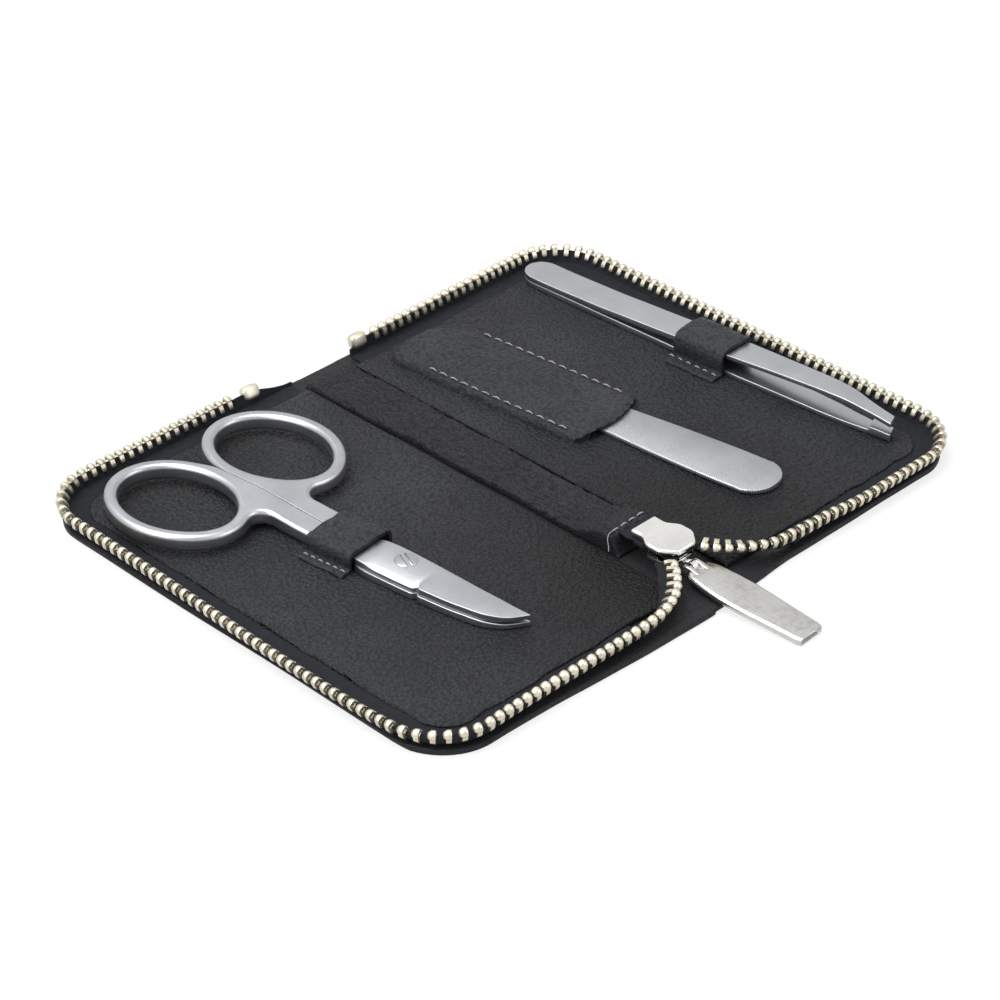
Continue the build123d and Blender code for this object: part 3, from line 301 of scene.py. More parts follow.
def piece(name, parts, body, finish_name, nodes, sharp=35.0, flow=None):
    """One object from closed parts, in metres: each part is turned to face outwards and joined to the others.
    It stands for the named nodes, and takes the slot of its finish."""
    points, faces, offset = [], [], 0
    for part_points, part_faces in parts:
        turned = volume(part_points, part_faces) < 0
        faces += [row for f in part_faces for row in ((f[:, ::-1] if turned else f) + offset).tolist()]
        points.append(part_points)
        offset += len(part_points)
    mesh = bpy.data.meshes.new(name)
    mesh.from_pydata((np.vstack(points) * MM).tolist(), [], faces)
    mesh.validate()
    mesh.shade_smooth()
    mesh.set_sharp_from_angle(angle=np.radians(sharp))
    if flow is not None:
        mesh.attributes.new("flow", "FLOAT_VECTOR", "POINT").data.foreach_set("vector", flow.ravel())
    mesh.materials.append(finish(finish_name))
    made = bpy.data.objects.new(name, mesh)
    bpy.context.scene.collection.objects.link(made)
    if isinstance(body, str):
        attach(made, body)
    else:
        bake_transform(made)
    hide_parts(*nodes)


def over_fold(side, start, end):
    """The blend of a piece from the spine to one half, between two points given for the right half."""
    half = "left_half" if side < 0 else "right_half"
    return "spine", half, (side * start[0], *start[1:]), (side * end[0], *end[1:])


def halved(points, side):
    """Points of one half: mirrored to the left, or on the right drawn in a little at the outer side."""
    points[..., 0] = -points[..., 0] if side < 0 else drawn_in(points[..., 0])
    return points


def drawn_in(x):
    """The right half's outer side, which lies a little nearer to the spine than the left half's."""
    return x - 2.0 * ease(x, 45, 70)


# ---------------------------------------------------------------- finishes


def feed(tree, node, values):
    """Gives the node's inputs their values: a socket is linked, and a number or colour is set."""
    for key, value in values.items():
        if isinstance(value, bpy.types.NodeSocket):
            tree.links.new(value, node.inputs[key])
        else:
            node.inputs[key].default_value = value
    return node


def add(tree, kind, values=(), **settings):
    """A shader node with its settings and the values of its inputs."""
    made = tree.nodes.new(f"ShaderNode{kind}")
    for key, value in settings.items():
        setattr(made, key, value)
    return feed(tree, made, dict(values))


def maths(tree, operation, first, second=0.0):
    """A Math node; either side may be a socket or a number."""
    return add(tree, "Math", {0: first, 1: second}, operation=operation).outputs[0]


def mix(tree, first, share, second, rest=None):
    """The sum of two values, each multiplied by its share."""
    second = second if rest is None else maths(tree, "MULTIPLY", second, rest)
    return maths(tree, "ADD", maths(tree, "MULTIPLY", first, share), second)


def wave(tree, value, factor):
    """The sine of a value times a factor."""
    return maths(tree, "SINE", maths(tree, "MULTIPLY", value, factor))


def ramp(tree, factor, *stops):
    """A colour or value that runs through the stops as the factor rises."""
    made = add(tree, "ValToRGB", {0: factor})
    made.color_ramp.elements.remove(made.color_ramp.elements[1])
    for i, (position, value) in enumerate(stops):
        stop = made.color_ramp.elements[0] if i == 0 else made.color_ramp.elements.new(position)
        stop.position = position
        stop.color = (*value, 1.0) if isinstance(value, tuple) else (value, value, value, 1.0)
    return made.outputs[0]


def group(name, inputs, outputs):
    """An empty node group with a vector and numbers for inputs: its tree, its inputs and its end node."""
    tree = bpy.data.node_groups.new(name, "ShaderNodeTree")
    tree.interface.new_socket("Vector", in_out="INPUT", socket_type="NodeSocketVector")
    for label, value in inputs.items():
        tree.interface.new_socket(label, in_out="INPUT", socket_type="NodeSocketFloat").default_value = value
    for label in outputs:
        tree.interface.new_socket(label, in_out="OUTPUT", socket_type="NodeSocketFloat")
    return tree, tree.nodes.new("NodeGroupInput").outputs, tree.nodes.new("NodeGroupOutput")


def grain_group():
    """Leather grain: rounded cells of two sizes, bent by noise; Height is the pebbles, Crease the lines between."""
    tree, given, out = group("Leather grain", {"Cells": 1200.0, "Softness": 0.5}, ("Height", "Crease", "Mottle"))
    where = given["Vector"]
    bend = add(tree, "TexNoise", {"Vector": where, "Scale": 260.0, "Detail": 2.0}).outputs["Color"]
    push = {0: bend, 1: (0.0009, 0.0009, 0.0009), 2: where}
    bent = add(tree, "VectorMath", push, operation="MULTIPLY_ADD").outputs[0]
    cells = {"Vector": bent, "Scale": given["Cells"], "Smoothness": given["Softness"]}
    cells = add(tree, "TexVoronoi", cells, feature="SMOOTH_F1").outputs["Distance"]
    pores = {"Vector": bent, "Scale": maths(tree, "MULTIPLY", given["Cells"], 2.3)}
    pores = add(tree, "TexVoronoi", pores, feature="F1").outputs["Distance"]
    both = mix(tree, cells, 0.8, pores, 0.3)
    broad = {"Vector": where, "Scale": 55.0, "Detail": 4.0, "Roughness": 0.6}
    broad = add(tree, "TexNoise", broad).outputs["Fac"]
    height, crease = maths(tree, "SUBTRACT", 1.0, both), maths(tree, "POWER", both, 2.0)
    feed(tree, out, {"Height": height, "Crease": crease, "Mottle": broad})


def weave_group():
    """A twill weave: two crossing rows of threads, each a sine of the distance along or across the tape."""
    tree, given, out = group("Tape weave", {"Threads": 2.4}, ("Height",))
    along, over, _ = add(tree, "SeparateXYZ", {0: given["Vector"]}).outputs
    per = maths(tree, "MULTIPLY", given["Threads"], TURN)
    along, over = maths(tree, "MULTIPLY", along, per), maths(tree, "MULTIPLY", over, per)
    warp = maths(tree, "ABSOLUTE", wave(tree, over, 0.5))
    twill = maths(tree, "ABSOLUTE", wave(tree, maths(tree, "ADD", along, over), 0.5))
    feed(tree, out, {"Height": mix(tree, warp, 0.6, twill, 0.4)})


def marks_group():
    """Handling marks on metal: cloudy patches, fine specks and long faint rubs along the piece."""
    tree, given, out = group("Metal marks", {"Specks": 1500.0}, ("Cloud", "Speck", "Rub"))
    where = given["Vector"]
    long = {"Vector": where, "Scale": (2600.0, 90.0, 2600.0), "Rotation": (0.0, 0.0, -0.12)}
    long = add(tree, "Mapping", long).outputs[0]
    for label, values in (
        ("Cloud", {"Vector": where, "Scale": 120.0, "Detail": 3.0}),
        ("Speck", {"Vector": where, "Scale": given["Specks"], "Detail": 5.0, "Roughness": 0.7}),
        ("Rub", {"Vector": long, "Scale": 1.0, "Detail": 2.0}),
    ):
        feed(tree, out, {label: add(tree, "TexNoise", values).outputs["Fac"]})


def material(name):
    """A new material with its tree, its shader and the object's own coordinates."""
    made = bpy.data.materials.new(name)
    made.use_nodes = True
    tree = made.node_tree
    return made, tree, tree.nodes["Principled BSDF"], add(tree, "TexCoord").outputs["Object"]


def shared(tree, name, values):
    """A shared node group in a material, with this material's own values."""
    return add(tree, "Group", values, node_tree=bpy.data.node_groups[name]).outputs


def bump(tree, height, depth):
    """Bump from a height of 0 to 1 that stands for depth metres."""
    return add(tree, "Bump", {"Strength": 1.0, "Distance": depth, "Height": height}).outputs[0]


def tint(base, factor):
    """A colour times a factor, at most 1."""
    return tuple(float(min(1.0, c * factor)) for c in base)


def leather(name, base, cells, depth, gloss, softness=0.5, crease_shade=0.35, slider_shade=1.0):
    """Grained leather: darker in the creases, as painted shade, and lighter on the pebbles, as a painted highlight,
    with a broken sheen.
    Its tone also falls, as painted shade, to a given share beside the slider and comes back over about 60 mm."""
    made, tree, shader, where = material(name)
    grain = shared(tree, "Leather grain", {"Vector": where, "Cells": cells, "Softness": softness})
    # Painted shade in the grain's creases and a painted highlight on its pebbles, with a random mottle.
    shade = mix(tree, grain["Crease"], -crease_shade, grain["Mottle"], 0.9)
    tone = ramp(tree, shade, (0.0, tint(base, 0.55)), (0.42, tint(base, 1.0)), (0.8, tint(base, 1.35)))
    # Painted shade: the tone darkens near the slider, at 4 mm and -48 mm, and comes back further off.
    away = add(tree, "VectorMath", {0: where, 1: (0.004, -0.048, 0.0)}, operation="DISTANCE")
    share = {"Value": away.outputs["Value"], "From Min": 0.012, "From Max": 0.075, "To Min": slider_shade, "To Max": 1.0}
    share = add(tree, "MapRange", share, interpolation_type="SMOOTHSTEP").outputs[0]
    dimmed = add(tree, "VectorMath", {0: tone, "Scale": share}, operation="SCALE").outputs[0]
    rough = ramp(tree, grain["Crease"], (0.0, gloss), (0.8, min(1.0, gloss + 0.3)))
    normal = bump(tree, grain["Height"], depth)
    feed(tree, shader, {"Base Color": dimmed, "Roughness": rough, "Specular IOR Level": 0.14, "Normal": normal})
    return made


def tape_finish(name, base):
    """Woven tape, read along and across its own length, with a faint fuzz."""
    made, tree, shader, where = material(name)
    flow = add(tree, "Attribute", attribute_name="flow").outputs["Vector"]
    weave = shared(tree, "Tape weave", {"Vector": flow, "Threads": 3.1})
    fuzz = add(tree, "TexNoise", {"Vector": where, "Scale": 900.0, "Detail": 3.0}).outputs["Fac"]
    shade = mix(tree, weave["Height"], 0.2, fuzz, 0.8)
    tone = ramp(tree, shade, (0.15, tint(base, 0.4)), (0.5, tint(base, 1.0)), (0.8, tint(base, 1.9)))
    rough = ramp(tree, fuzz, (0.2, 0.75), (0.8, 0.95))
    normal = bump(tree, shade, 0.00018)
    feed(tree, shader, {"Base Color": tone, "Roughness": rough, "Specular IOR Level": 0.2, "Normal": normal})
    return made


def metal(name, base, gloss, specks=1500.0, depth=0.00001, dark=0.8):
    """Metal with cloudy patches, specks and rubs that change its tone and its gloss."""
    made, tree, shader, where = material(name)
    marks = shared(tree, "Metal marks", {"Vector": where, "Specks": specks})
    mixed = mix(tree, marks["Cloud"], 0.5, marks["Speck"], 0.5)
    tone = ramp(tree, mixed, (0.32, tint(base, dark)), (0.5, tint(base, 1.0)), (0.68, tint(base, 1.08)))
    worn = mix(tree, marks["Rub"], 0.3, marks["Cloud"], 0.2)
    rough = ramp(tree, worn, (0.1, max(0.04, gloss - 0.08)), (0.4, gloss + 0.08))
    normal = bump(tree, maths(tree, "ADD", marks["Rub"], marks["Speck"]), depth)
    feed(tree, shader, {"Base Color": tone, "Roughness": rough, "Metallic": 1.0, "Normal": normal})
    return made


def file_finish(name, base, pitch):
    """Steel with two crossing rows of fine cuts, worn smooth in patches."""
    made, tree, shader, where = material(name)
    marks = shared(tree, "Metal marks", {"Vector": where, "Specks": 1500.0})
    x, y, _ = add(tree, "SeparateXYZ", {0: where}).outputs
    cuts = [wave(tree, mix(tree, x, slant, y), TURN / pitch) for slant in (0.8, -0.45)]
    crossed = mix(tree, maths(tree, "ADD", *cuts), 0.25, 0.5)
    tone = ramp(tree, crossed, (0.1, tint(base, 0.72)), (0.5, tint(base, 1.0)), (0.9, tint(base, 1.12)))
    rough = ramp(tree, marks["Cloud"], (0.3, 0.38), (0.7, 0.55))
    normal = bump(tree, crossed, 0.00004)
    feed(tree, shader, {"Base Color": tone, "Roughness": rough, "Metallic": 1.0, "Normal": normal})
    return made


def thread_finish(name, base):
    """Sewing thread: fine twisted strands in two tones."""
    made, tree, shader, where = material(name)
    bands = {"wave_type": "BANDS", "bands_direction": "DIAGONAL"}
    strands = {"Vector": where, "Scale": 900.0, "Distortion": 2.0}
    strands = add(tree, "TexWave", strands, **bands).outputs["Fac"]
    tone = ramp(tree, strands, (0.1, tint(base, 0.55)), (0.7, tint(base, 1.0)))
    rough = ramp(tree, strands, (0.0, 0.85), (1.0, 0.65))
    feed(tree, shader, {"Base Color": tone, "Roughness": rough, "Normal": bump(tree, strands, 0.00006)})
    return made


def finish(name):
    """The finish of that name, made the first time that a piece asks for it."""
    if name in bpy.data.materials:
        return bpy.data.materials[name]
    for label, build in (("Leather grain", grain_group), ("Tape weave", weave_group), ("Metal marks", marks_group)):
        if label not in bpy.data.node_groups:
            build()
    scene = bpy.context.scene
    hide, zip_, tools, cells = scene.case_leather, scene.case_zip, scene.case_tools, 1 / scene.case_leather.grain
    build, *values = {
        "cover leather": (leather, hide.cover, cells, 0.00012, 0.42),
        "strip leather": (leather, hide.cover, cells * 1.5, 0.00016, 0.36, 0.4, 0.9),
        # The lining's last value is the share of painted shade beside the slider.
        "lining leather": (leather, hide.lining, cells, 0.0005, 0.34, 0.2, 0.9, 0.3),
        "strap leather": (leather, hide.strap, cells, 0.00022, 0.42, 0.4, 0.8),
        "zip tape": (tape_finish, zip_.tape),
        "tooth metal": (metal, zip_.metal, 0.42, 1800.0, 0.00001, 0.78),
        # The tab is the slider's polished metal darkened to seven tenths, a painted dark reflection.
        "tab metal": (metal, tint(zip_.polished, 0.7), 0.26, 900.0, 0.00001, 0.7),
        "polished metal": (metal, zip_.polished, 0.14, 900.0, 0.000004, 0.9),
        "satin steel": (metal, tools.steel, 0.36, 1800.0, 0.00001, 0.9),
        "ground steel": (metal, tools.blade, 0.30, 1800.0, 0.00001, 0.92),
        "file steel": (file_finish, tools.blade, tools.file_cut),
        "thread": (thread_finish, hide.thread),
    }[name]
    return build(name, *values)


# ---------------------------------------------------------------- leather and lining


def leaf(x, front, back, low, high, edge, count=15):
    """A leaf of leather as sections across y: under, round the back edge, over the top, round the front edge."""
    front, back, low, high = (np.broadcast_to(v, x.shape)[:, None] for v in (front, back, low, high))
    r = np.minimum(edge, (high - low) * 0.45)
    t = np.linspace(0, 1, count)[None]
    a = np.linspace(-QUARTER, QUARTER, 5)[None]
    y = (front + r) + (back - front) * t - 2 * r * t
    rise = np.where(a < 0, low + r + r * np.sin(a), high - r + r * np.sin(a))
    ys = np.hstack((y, y[:, -1:] + r * np.cos(a), y[:, ::-1], y[:, :1] - r * np.cos(a)))
    return xyz(x[:, None], ys, np.hstack((low + 0 * t, rise, high + 0 * t, rise[:, ::-1])))


def leaf_steps(start, edge, corner, rounding):
    """Places across a leaf: close together at the fold, and spaced by sines round the corner."""
    turn = np.sin(np.linspace(0, QUARTER, 16))
    level = np.r_[start, np.linspace(start + 0.2, start + 2.4, 12), np.linspace(start + 5, edge - corner, 14)]
    return np.r_[level, edge - corner + corner * turn[1:-1], edge - rounding * 0.4, edge]


def corner_cut(x, edge, corner):
    """How far a round corner draws the edge in at each place: its radius less the height of its circle."""
    past = np.clip(x - (edge - corner), 0, corner)
    return corner - np.sqrt(corner**2 - past**2)


def cover(side):
    """One half's outer leather: its front edge runs out a little towards the spine, and its edge is cut by hand."""
    far, deep = COVER_EDGE
    x = leaf_steps(SPINE_EDGES[0], far, COVER_CORNER, 0.4)
    cut = corner_cut(x, far, COVER_CORNER)
    reach = 2.1 * (1 - ease(x, 5, 62)) if side < 0 else 0.9 * (1 - ease(x, 5, 20))
    thin = 0.35 * ease(x, far - 0.6, far)
    points = leaf(x, cut - deep - reach, deep - cut, 0.02 + thin, COVER_TOP - thin, 0.45)
    points[..., 1] += 0.07 * np.sin(points[..., 0] / 6.3) + 0.03 * np.sin(points[..., 0] / 2.3 + 1)
    points[..., 0] += ease(points[..., 0], 64, 72) * 0.12 * np.sin(points[..., 1] / 9.1)
    return loft(halved(points, side))


def lining(side):
    """One half's lining over its board: a thin leaf whose edge waves a little and thins to its ends."""
    far, deep = LINING_EDGE
    start = 7.0 if side < 0 else 6.3
    x = leaf_steps(start, far, LINING_CORNER, 0.3)
    cut = corner_cut(x, far, LINING_CORNER)
    ends = 0.3 * (ease(x, far - 0.5, far) + 1 - ease(x, start, start + 0.5))
    points = leaf(x, cut - deep, deep - cut, COVER_TOP, LINING_TOP - ends, 0.4, 40)
    px, py = points[..., 0], points[..., 1]
    points[..., 1] += ease(np.abs(py), 48, 52) * (0.22 * np.sin(px / 2.9 + 0.4) + 0.16 * np.sin(px / 1.27))
    points[..., 0] += ease(px, 64, 68) * (0.2 * np.sin(py / 3.1) + 0.14 * np.sin(py / 1.21 + 2))
    return loft(halved(points, side))


def ridges(x, y, pitch):
    """Wavy ridges nearly along the strip: a sine across them, pushed sideways and broken up by slower sines."""
    c, s = np.cos(np.radians(17)), np.sin(np.radians(17))
    across, along = x * c + y * s, y * c - x * s
    push = 1.5 * np.sin(along / 1.15 + 0.9 * np.sin(across / 0.65)) + 0.9 * np.sin(along / 0.61 + across * 1.7)
    crest = 0.5 + 0.5 * np.sin(TURN * across / pitch + push)
    return crest**0.8 * (0.68 + 0.32 * np.sin(along / 0.83 + 2.1 * np.sin(across / 0.47)))


def strip_height(y):
    """Height of the strip's crown along the spine: level, then up over the tape end, and down at both ends."""
    rise = 2.2 + 2.3 * (1 - ease(y, -32.0, -22.0))
    return rise * (0.25 + 0.75 * ease(y, -35.3, -32.9)) * (1 - 0.45 * ease(y, 51.0, 53.5))


def spine_strip(pitch, height):
    """The padded strip on the spine: rows across it, a rounded cross-section with ridges on its top."""
    y = np.r_[np.linspace(-35.2, -34.2, 6), np.linspace(-34.0, 53.0, 400), 53.3, 53.5][:, None]
    u = np.linspace(-1, 1, 61)
    half = 5.2 - 0.35 * ease(y, 50, 53.5) + 0.12 * np.sin(y / 4.3)
    x = half * np.sign(u) * (1 - (1 - np.abs(u)) ** 1.35)
    x = x - (u < 0) * np.abs(u) * (0.8 + 0.8 * ease(y, 20, 50))
    crown = (1 - np.abs(u) ** 9) ** 0.55
    z = COVER_TOP + strip_height(y) * (0.12 + 0.88 * crown)
    z += height * ridges(x, y, pitch) * crown * ease(y, -34.6, -33.0) - height * crown
    return loft(np.concatenate((xyz(x, y, z), xyz(x[:, ::-6], y, COVER_TOP)), 1))


# ---------------------------------------------------------------- zip

# How far the left wall stands out, and how many degrees each wall leans outwards, by the distance along it.
BULGE = ((0, 0.1), (53, 0.25), (75, 0.25), (100, 0.5), (130, 0.8), (155, 0.6), (170, 0.2), (217.2, 0.0))
LEFT_LEAN = ((0, 18), (25, 24), (53, 26), (75, 26), (95, 28), (120, 35), (138, 39), (155, 38), (166, 30), (178, 22))
RIGHT_LEAN = ((0, 8), (25, 13), (48, 22), (61, 29), (74, 31), (120, 31), (150, 31), (166, 33), (190, 34), (200, 33))
LEANS = {-1: (*LEFT_LEAN, (205, 22), (217.2, 20)), 1: (*RIGHT_LEAN, (208, 22), (217.2, 14))}
# Line of the tooth heads of each free end, from the wall to the slider.
BENDS = {
    -1: (
        *((-20.8, -56.9, 4.97), (-15.6, -56.3, 5.15), (-10.0, -53.9, 5.35)),
        *((-6.8, -51.0, 5.5), (-5.0, -49.0, 5.5), (-3.7, -46.9, 5.5)),
    ),
    1: (
        *((20.8, -56.5, 5.08), (15.4, -56.1, 5.2), (9.8, -53.7, 5.4)),
        *((6.3, -50.9, 5.5), (4.8, -49.0, 5.5), (3.7, -46.9, 5.5)),
    ),
}


def steps_along(steps, length):
    """The given distances, or that many even ones from 0 to the length."""
    return np.linspace(0, length, steps) if isinstance(steps, int) else steps


def wall_line(side, steps):
    """Foot line of one zip wall from the spine's far end round to the front, with its outward and onward
    directions: straight lines joined by quarter circles."""
    a = np.linspace(0, QUARTER, 19)
    s, c = WALL_CORNER * np.sin(a), WALL_CORNER * np.cos(a)
    cx, cy = WALL_X - WALL_CORNER, WALL_Y - WALL_CORNER
    far, near = np.column_stack((cx + s, cy + c)), np.column_stack((cx + c, -cy - s))
    line = even(np.vstack(((WALL_STARTS, WALL_Y), far, near, (WALL_ENDS, -WALL_Y))), 900)
    at = lengths(line)
    steps = steps_along(steps, at[-1])
    p = read(steps, at, line)
    onward = unit(read(steps, at, np.gradient(line, axis=0)))
    outward = np.column_stack((-onward[:, 1], onward[:, 0]))
    if side > 0:
        p[:, 0] = drawn_in(p[:, 0])
    else:
        p = p + outward * curve(steps, BULGE)[:, None]
    return xyz(p[:, 0] * side, p[:, 1], COVER_TOP), outward * (side, 1.0), onward * (side, 1.0), steps


def lean(side, steps):
    """How far the zip wall leans outwards along its length, in radians."""
    return np.radians(curve(steps, LEANS[side]))


def stand(p, outward, tilt, out, up):
    """Points beside a line, out from it and up from it, both turned outwards by the tilt."""
    s, c = np.sin(tilt), np.cos(tilt)
    sideways = up * s + out * c
    flat = (p[..., i] + outward[..., i] * sideways for i in (0, 1))
    return xyz(*flat, p[..., 2] + up * c - out * s)


def zip_tape(side):
    """The tape of one half: its section lies flat under the lining's edge, turns up and leans out to the teeth.
    Sines along and across it make it ripple, and each side lies half a thickness off along the normal."""
    p, outward, _, steps = wall_line(side, 330)
    steps = steps[:, None]
    tilt = lean(side, steps)
    flat = np.array((-6.4, -4.6, -3.0, -1.8, -1.0)) + 0 * tilt
    worn = 0.3 + 0.7 * ease(steps, 1, 11) if side < 0 else 0.55 + 0.45 * ease(steps, 0, 4)
    climb = 0.5 + (np.array((0.6, 1.2, 1.8, 2.45, WALL_HEIGHT)) - 0.5) * worn
    n = np.hstack((flat, -0.38 + 0 * tilt, climb * np.sin(tilt)))
    z = np.hstack((1.72 + 0 * flat, 1.88 + 0 * tilt, COVER_TOP + climb * np.cos(tilt)))
    at = np.linspace(0, 1, n.shape[1])
    n += 0.06 * np.sin(steps / 1.9) * at**2 + 0.05 * np.sin(steps / 0.83 + 5 * at) * at
    n += 0.07 * np.sin(steps / 3.7 + 9 * at) * at * (1 - at) * 4
    z[:, :6] += 0.08 * np.sin(steps / 2.7 + 2 * np.sin(steps / 7.1)) * np.linspace(0, 1, 6)
    dn, dz = np.gradient(n, axis=1), np.gradient(z, axis=1)
    half = np.r_[np.full(6, 0.22), np.full(5, 0.29)] / np.hypot(dn, dz)
    n, z = (np.hstack((v + off, (v - off)[:, ::-1])) for v, off in ((n, -dz * half), (z, dn * half)))
    points = xyz(p[:, :1] + outward[:, :1] * n, p[:, 1:2] + outward[:, 1:] * n, z)
    return loft(points), xyz(steps, np.r_[1:12, 11:0:-1] * 0.62, 0)


def tooth(thickness, sides):
    """One tooth about its head's centre: x out, y up the wall, z along the chain. The head is a disc turned
    about z, with a ball on one face and a dimple on the other; two legs hold the tape."""
    half = thickness / 2
    ball = ((0.2, -half - 0.5), (0.5, -half - 0.42), (0.72, -half - 0.2), (0.84, -half), (0.98, -half * 0.55))
    dimple = ((1.0, half * 0.6), (0.9, half), (0.5, half), (0.36, half - 0.25))
    r, z = np.array((*ball, *dimple)).T[..., None]
    a = np.linspace(0, TURN, sides, endpoint=False)
    parts = [loft(xyz(r * np.cos(a), r * np.sin(a) * 0.97, z))]
    outer = (
        *((-0.3, -0.9, -1.5, -1.95, -2.2), (0.58, 0.74, 0.68, 0.5, 0.36)),
        *((0.4, 0.36, 0.3, 0.2, 0.08), (0.95, 0.92, 0.86, 0.7, 0.4)),
    )
    inner = (
        *((-0.3, -0.9, -1.7, -1.9), (-0.58, -0.68, -0.68, -0.62)),
        *((0.38, 0.33, 0.3, 0.14), (0.95, 0.95, 0.92, 0.6)),
    )
    corner = np.array(((-1, -1), (1, -1), (1, 1), (-1, 1)))
    for leg in (outer, inner):
        down, x, wide, deep = (np.array(v)[:, None] for v in leg)
        parts.append(loft(xyz(x + corner[:, 0] * wide, down, corner[:, 1] * deep * half)))
    return parts


def chain(line, head_up, thickness, sides):
    """Teeth along a line, each laid on the outward, rising and onward directions of its place."""
    p, outward, onward, tilt = (v[:, None] for v in line)
    made = []
    for part in tooth(thickness, sides):
        x, y, z = part[0].T
        points = stand(p, outward, tilt, x, y + head_up)
        points[..., :2] += onward * z[:, None]
        made.append(repeat(part, points))
    return made


def rim_teeth(side, pitch, thickness, sides):
    """The teeth of one half, counted back from the front end of its wall."""
    length = wall_line(side, 2)[3][-1]
    first = STOP_STARTS[side] + STOP_LENGTH + 1.0 - (WALL_STARTS - FOLD_X)
    steps = (length - pitch / 2 - pitch * np.arange(int((length - first) / pitch)))[::-1]
    p, outward, onward, _ = wall_line(side, steps)
    return chain((p, outward, onward, lean(side, steps)), HEAD_FROM_FOOT, thickness, sides)


def bend_line(side, steps):
    """Heads' line where the chain leaves the wall and swings into the slider, with its directions and its lean:
    a smooth curve through its knots, which turns from 20 degrees off upright to flat."""
    knots = np.array(BENDS[side])
    reach = lengths(knots)
    steps = steps_along(steps, reach[-1])
    at = lambda s: np.column_stack([curve(s, np.column_stack((reach, c))) for c in knots.T])
    onward = (at(steps + 0.05) - at(steps - 0.05))[:, :2]
    if steps[0] == 0:
        onward[0] = (-side, 0.0)
    onward = unit(onward)
    outward = np.column_stack((onward[:, 1], -onward[:, 0])) * -side
    return at(steps), outward, onward, np.radians(20 + 70 * ease(steps, 0, reach[-1] - 3)), steps


def bend_tape(side):
    """The tape of the bend: a ribbon that hangs from the heads' line and turns from upright to flat."""
    head, outward, _, tilt, steps = (v[:, None] for v in bend_line(side, 60))
    up = np.array((WALL_HEIGHT, 2.6, 1.8, 1.0, 0.35))
    up = np.r_[up, up[::-1]]
    out = np.r_[np.full(5, 0.24), np.full(5, -0.24)] + 0.10 * np.sin(steps / 1.4) * (WALL_HEIGHT - up) / 3
    return loft(stand(head, outward, tilt, out, up - HEAD_FROM_FOOT)), xyz(steps, up, 0)


def bend_teeth(side, pitch, thickness, sides):
    """The teeth of the bend, evenly spaced up to the slider's mouth."""
    reach = bend_line(side, 2)[4][-1]
    count = round(reach / pitch)
    return chain(bend_line(side, (np.arange(count) + 0.5) * reach / count)[:4], 0.0, thickness, sides)


def top_stop(side):
    """The stop at the far end of a chain: a rounded metal box clamped over the tape, leaning with it."""
    start, half = STOP_STARTS[side], STOP_LENGTH / 2
    box, faces = pebble((half, 1.2, 1.55), 3.6)
    foot = xyz(side * (FOLD_X + start + half) + box[:, 0], WALL_Y, COVER_TOP)
    up = box[:, 2] + HEAD_FROM_FOOT - 0.55
    return stand(foot, np.array((0.0, 1.0)), lean(side, start) + 0.15, box[:, 1], up), faces


def slider_parts():
    """The slider's two plates, the post between them and the rims that guide the teeth. The plates' outline has
    a nose, shoulders and a narrow tail, and their edges are rounded by a table of insets and heights."""
    right = ((3.15, -36.0), (3.0, -38.9), (4.65, -41.2), (4.65, -44.4), (2.4, -47.1))
    left = [(-x, y) for x, y in right]
    cut = (0.3, 0.9, 0.7, 0.8, 0.7)
    line = even(rounded([*right[::-1], *left], [*cut[::-1], *cut]), 120, True)
    over = ((0.75, 6.42), (0.3, PLATE_HIGH), (0.05, 6.32), (0.0, 6.55), (0.04, 6.95), (0.15, 7.22), (0.35, 7.33))
    under = ((0.5, 3.9), (0.1, 4.0), (0.0, 4.3), (0.1, PLATE_LOW), (0.4, 4.7))
    post = rounded(((-1.3, -46.6), (1.3, -46.6), (0.7, -42.2), (-0.7, -42.2)), 0.5)
    parts = [plate(inset(line, -0.3), (*over, (0.6, 7.36))), plate(inset(line, 0.15), under)]
    parts.append(plate(post, ((0, PLATE_LOW), (0, PLATE_HIGH))))
    outer = ((3.0, -36.4), (2.9, -39.0), (4.45, -41.3), (4.45, -43.8))
    inner = ((3.95, -43.8), (3.95, -41.6), (2.45, -39.2), (2.5, -36.4))
    for side, _ in SIDES:
        rail = rounded([(side * x, y) for x, y in (*outer, *inner)], 0.2)
        parts += [plate(rail, ((0, low), (0, high))) for low, high in ((PLATE_LOW, 5.15), (5.85, PLATE_HIGH))]
    return parts


# ---------------------------------------------------------------- pull tab


